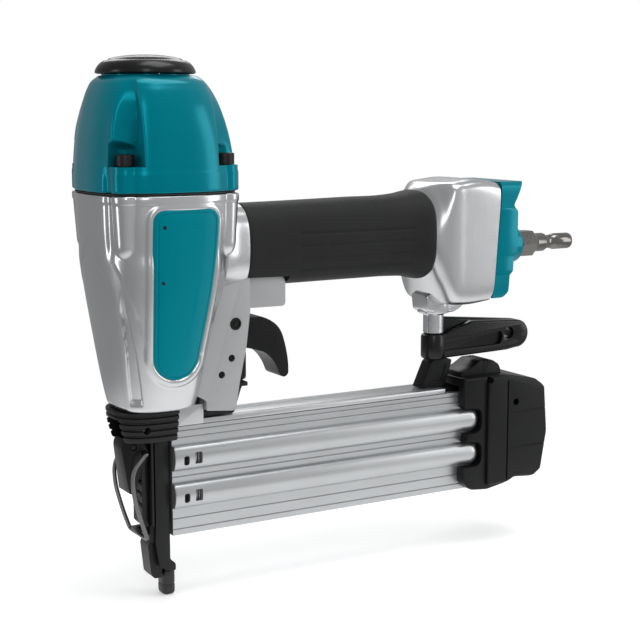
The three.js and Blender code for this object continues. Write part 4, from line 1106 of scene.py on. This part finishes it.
def add_nose():
    piece(nose_collar(), "collar_detail", "black_steel", ROOT, "nose_collar")
    piece(driver_guide(), "guide_detail", "black_steel", ROOT, "driver_guide")
    piece(nose_door(), "door_detail", "black_steel", "door", "nose_door")
    piece(latch_lever(), "lever_detail", "black_plastic", "lever", "latch_lever")
    dull = surface("dull_wire", (0.17, 0.17, 0.17), 0.38, 1.0, shade=0.88, grain=1600, bump=0.08)
    piece(latch_bail(), "bail_wire", "steel", "bail", "latch_bail", material=dull)
    piece(contact_arm(), "arm_detail", "black_steel", "contact", "contact_arm")
    piece(contact_foot(), "foot_pad", "foot_rubber", "contact", "contact_foot")
    stand_in(arm_guide(), "arm_guide", "black_plastic")
    stand_in(depth_wheel(), "depth_wheel", "black_plastic", "wheel", 50)
    stand_in(across(DOOR_PIN, 1.3, 10.6, 0.3), "door_pin", "steel")
    stand_in(across(LEVER_PIN, 1.2, 6.6, 0.3), "latch_pin", "black_steel", "lever")


def add_magazine():
    piece(fixed_rail(), "rail_detail", "extruded_aluminium", ROOT, "fixed_rail")
    piece(sliding_magazine(), "magazine_cover", "extruded_aluminium", "magazine", "sliding_magazine",
          sharp=40)
    for name, s in (("left", -1), ("right", 1)):
        piece(window_bars(s), f"window_bars_{name}", "steel", "magazine")
    piece(magazine_end_cap(), "magazine_end_detail", "black_plastic", "magazine", "magazine_end_cap")
    stand_in(magazine_latch(), "magazine_latch", "black_plastic", "magazine_latch")
    piece(across(LATCH_PIN, 1.2, 12, 0.2), "magazine_pin_detail", "steel", "magazine", "magazine_latch_pin")


def add_rear():
    piece(grip_sleeve(), "grip_rubber_sleeve", "grip_rubber", stands_for="grip_sleeve", sharp=50)
    stand_in(end_cap(), "end_cap", "teal_casting")
    for side, y in (("left", -14), ("right", 14)):
        for level, z in (("lower", 134), ("upper", 172)):
            stand_in(end_cap_screw(y, z), f"end_cap_screw_{side}_{level}", "black_steel")
    piece(air_plug(), "plug_detail", "plug_chrome", ROOT, "air_plug")
    stand_in(strut(), "strut", "black_plastic")
    piece(belt_hook(), "belt_hook_loop", "gloss_black_plastic", "hook", "belt_hook")


KEPT = {
    "seal_rubber": ("cap_gasket", "piston_ring", "bumper", "head_valve_seal", "end_cap_gasket"),
    "machined_aluminium": ("cylinder_sleeve", "piston"),
    "black_plastic": ("head_valve", "pusher_spring_spool"),
    "valve_brass": ("trigger_valve_body",),
    "steel": ("driver_blade", "head_valve_spring", "trigger_spring", "trigger_valve_stem", "contact_spring",
              "strut_screw", "pusher", "pusher_spring_roll"),
}


def finish_frame_nodes():
    """The CAD nodes that stay are given the finish of their slot."""
    for slot, names in KEPT.items():
        for name in names:
            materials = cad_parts[name].data.materials
            materials.clear()
            materials.append(MATERIALS[slot])


# ---- Camera, floor and light ----
def look(obj, back, at):
    back = Vector(back).normalized()
    right = Vector((0, 0, 1)).cross(back).normalized()
    up = back.cross(right)
    turn = Matrix((right, up, back)).transposed().to_4x4()
    obj.matrix_world = Matrix.Translation(at) @ turn


def add_camera():
    data = bpy.data.cameras.new("camera")
    data.sensor_width = 36
    data.lens = 78.75
    data.clip_start = 0.01
    camera = in_scene("camera", data)
    azimuth, elevation = math.radians(-30), math.radians(8.7)
    back = (math.sin(azimuth) * math.cos(elevation), -math.cos(azimuth) * math.cos(elevation),
            math.sin(elevation))
    look(camera, back, (DRIVE_X - 0.2357, -0.5554, 0.2155))
    bpy.context.scene.camera = camera


MIDDLE = Vector((0.08, 0, 0.12))


def add_light(name, at, size, power, size_y=None):
    """A soft lamp that faces the middle of the object."""
    data = bpy.data.lights.new(name, "AREA")
    data.shape = "RECTANGLE"
    data.size = size
    data.size_y = size_y or size
    data.energy = power
    look(in_scene(name, data), Vector(at) - MIDDLE, at)


def fading_floor():
    """A pale floor that melts into the backdrop away from the object."""
    material = surface("pale_floor", (0.93, 0.93, 0.93), 0.8, shade=0.99, grain=60, bump=0.02, specular=0.1)
    nodes, links = material.node_tree.nodes, material.node_tree.links
    shader = nodes["Principled BSDF"]
    fill(shader, {"Emission Color": (1, 1, 1, 1), "Emission Strength": 0.35})
    place = nodes.new("ShaderNodeTexCoord")
    reach = nodes.new("ShaderNodeVectorMath")
    reach.operation = "LENGTH"
    links.new(place.outputs["Object"], reach.inputs[0])
    mix = nodes.new("ShaderNodeMixShader")
    links.new(ranged(nodes, links, reach.outputs["Value"], 0.0, 1.0, 0.14, 0.34), mix.inputs["Fac"])
    links.new(shader.outputs["BSDF"], mix.inputs[1])
    links.new(nodes.new("ShaderNodeBsdfTransparent").outputs["BSDF"], mix.inputs[2])
    links.new(mix.outputs["Shader"], nodes["Material Output"].inputs["Surface"])
    return material


def add_stage():
    sides = 96
    rim = [(math.cos(t), math.sin(t), 0) for t in full_turn(sides)]
    floor = mesh_object(rim, [tuple(range(sides))], "floor")
    floor.location = (MIDDLE.x, 0, 0)
    floor.data.materials.append(fading_floor())


def add_world():
    """A white backdrop to look at, with a soft grey gradient to light the object and reflect in it."""
    world = bpy.data.worlds.new("studio")
    world.use_nodes = True
    nodes, links = world.node_tree.nodes, world.node_tree.links
    place = nodes.new("ShaderNodeTexCoord")
    facing = nodes.new("ShaderNodeVectorMath")
    facing.operation = "DOT_PRODUCT"
    facing.inputs[1].default_value = (0.7, -0.5, 0.4)
    links.new(place.outputs["Generated"], facing.inputs[0])
    bright = ranged(nodes, links, facing.outputs["Value"], 0.0, 1.0, -0.5, 0.75)
    studio = tinted(nodes, links, bright, (0.3, 0.303, 0.306), (0.55, 0.555, 0.56))
    mix = nodes.new("ShaderNodeMix")
    mix.data_type = "RGBA"
    fill(mix, {"B": (1, 1, 1, 1)})
    links.new(nodes.new("ShaderNodeLightPath").outputs["Is Camera Ray"], mix.inputs["Factor"])
    links.new(studio, mix.inputs["A"])
    links.new(mix.outputs["Result"], nodes["Background"].inputs["Color"])
    bpy.context.scene.world = world


def add_lights():
    add_light("sky", (0.3, -0.2, 1.5), 0.9, 9.0)
    add_light("key", (-0.35, -0.95, 0.6), 0.16, 1.6, 0.8)
    add_light("side", (0.9, -0.6, 0.35), 0.35, 2.2, 0.8)
    add_light("rim", (0.5, 1.1, 0.9), 0.8, 3.0, 0.5)
    add_light("left", (-1.2, 0.1, 0.3), 0.3, 2.6, 0.9)


bpy.context.scene.view_settings.view_transform = "Standard"
add_camera()
add_stage()
add_world()
add_lights()
add_head()
add_housing()
add_trigger()
add_nose()
add_magazine()
add_rear()
finish_frame_nodes()
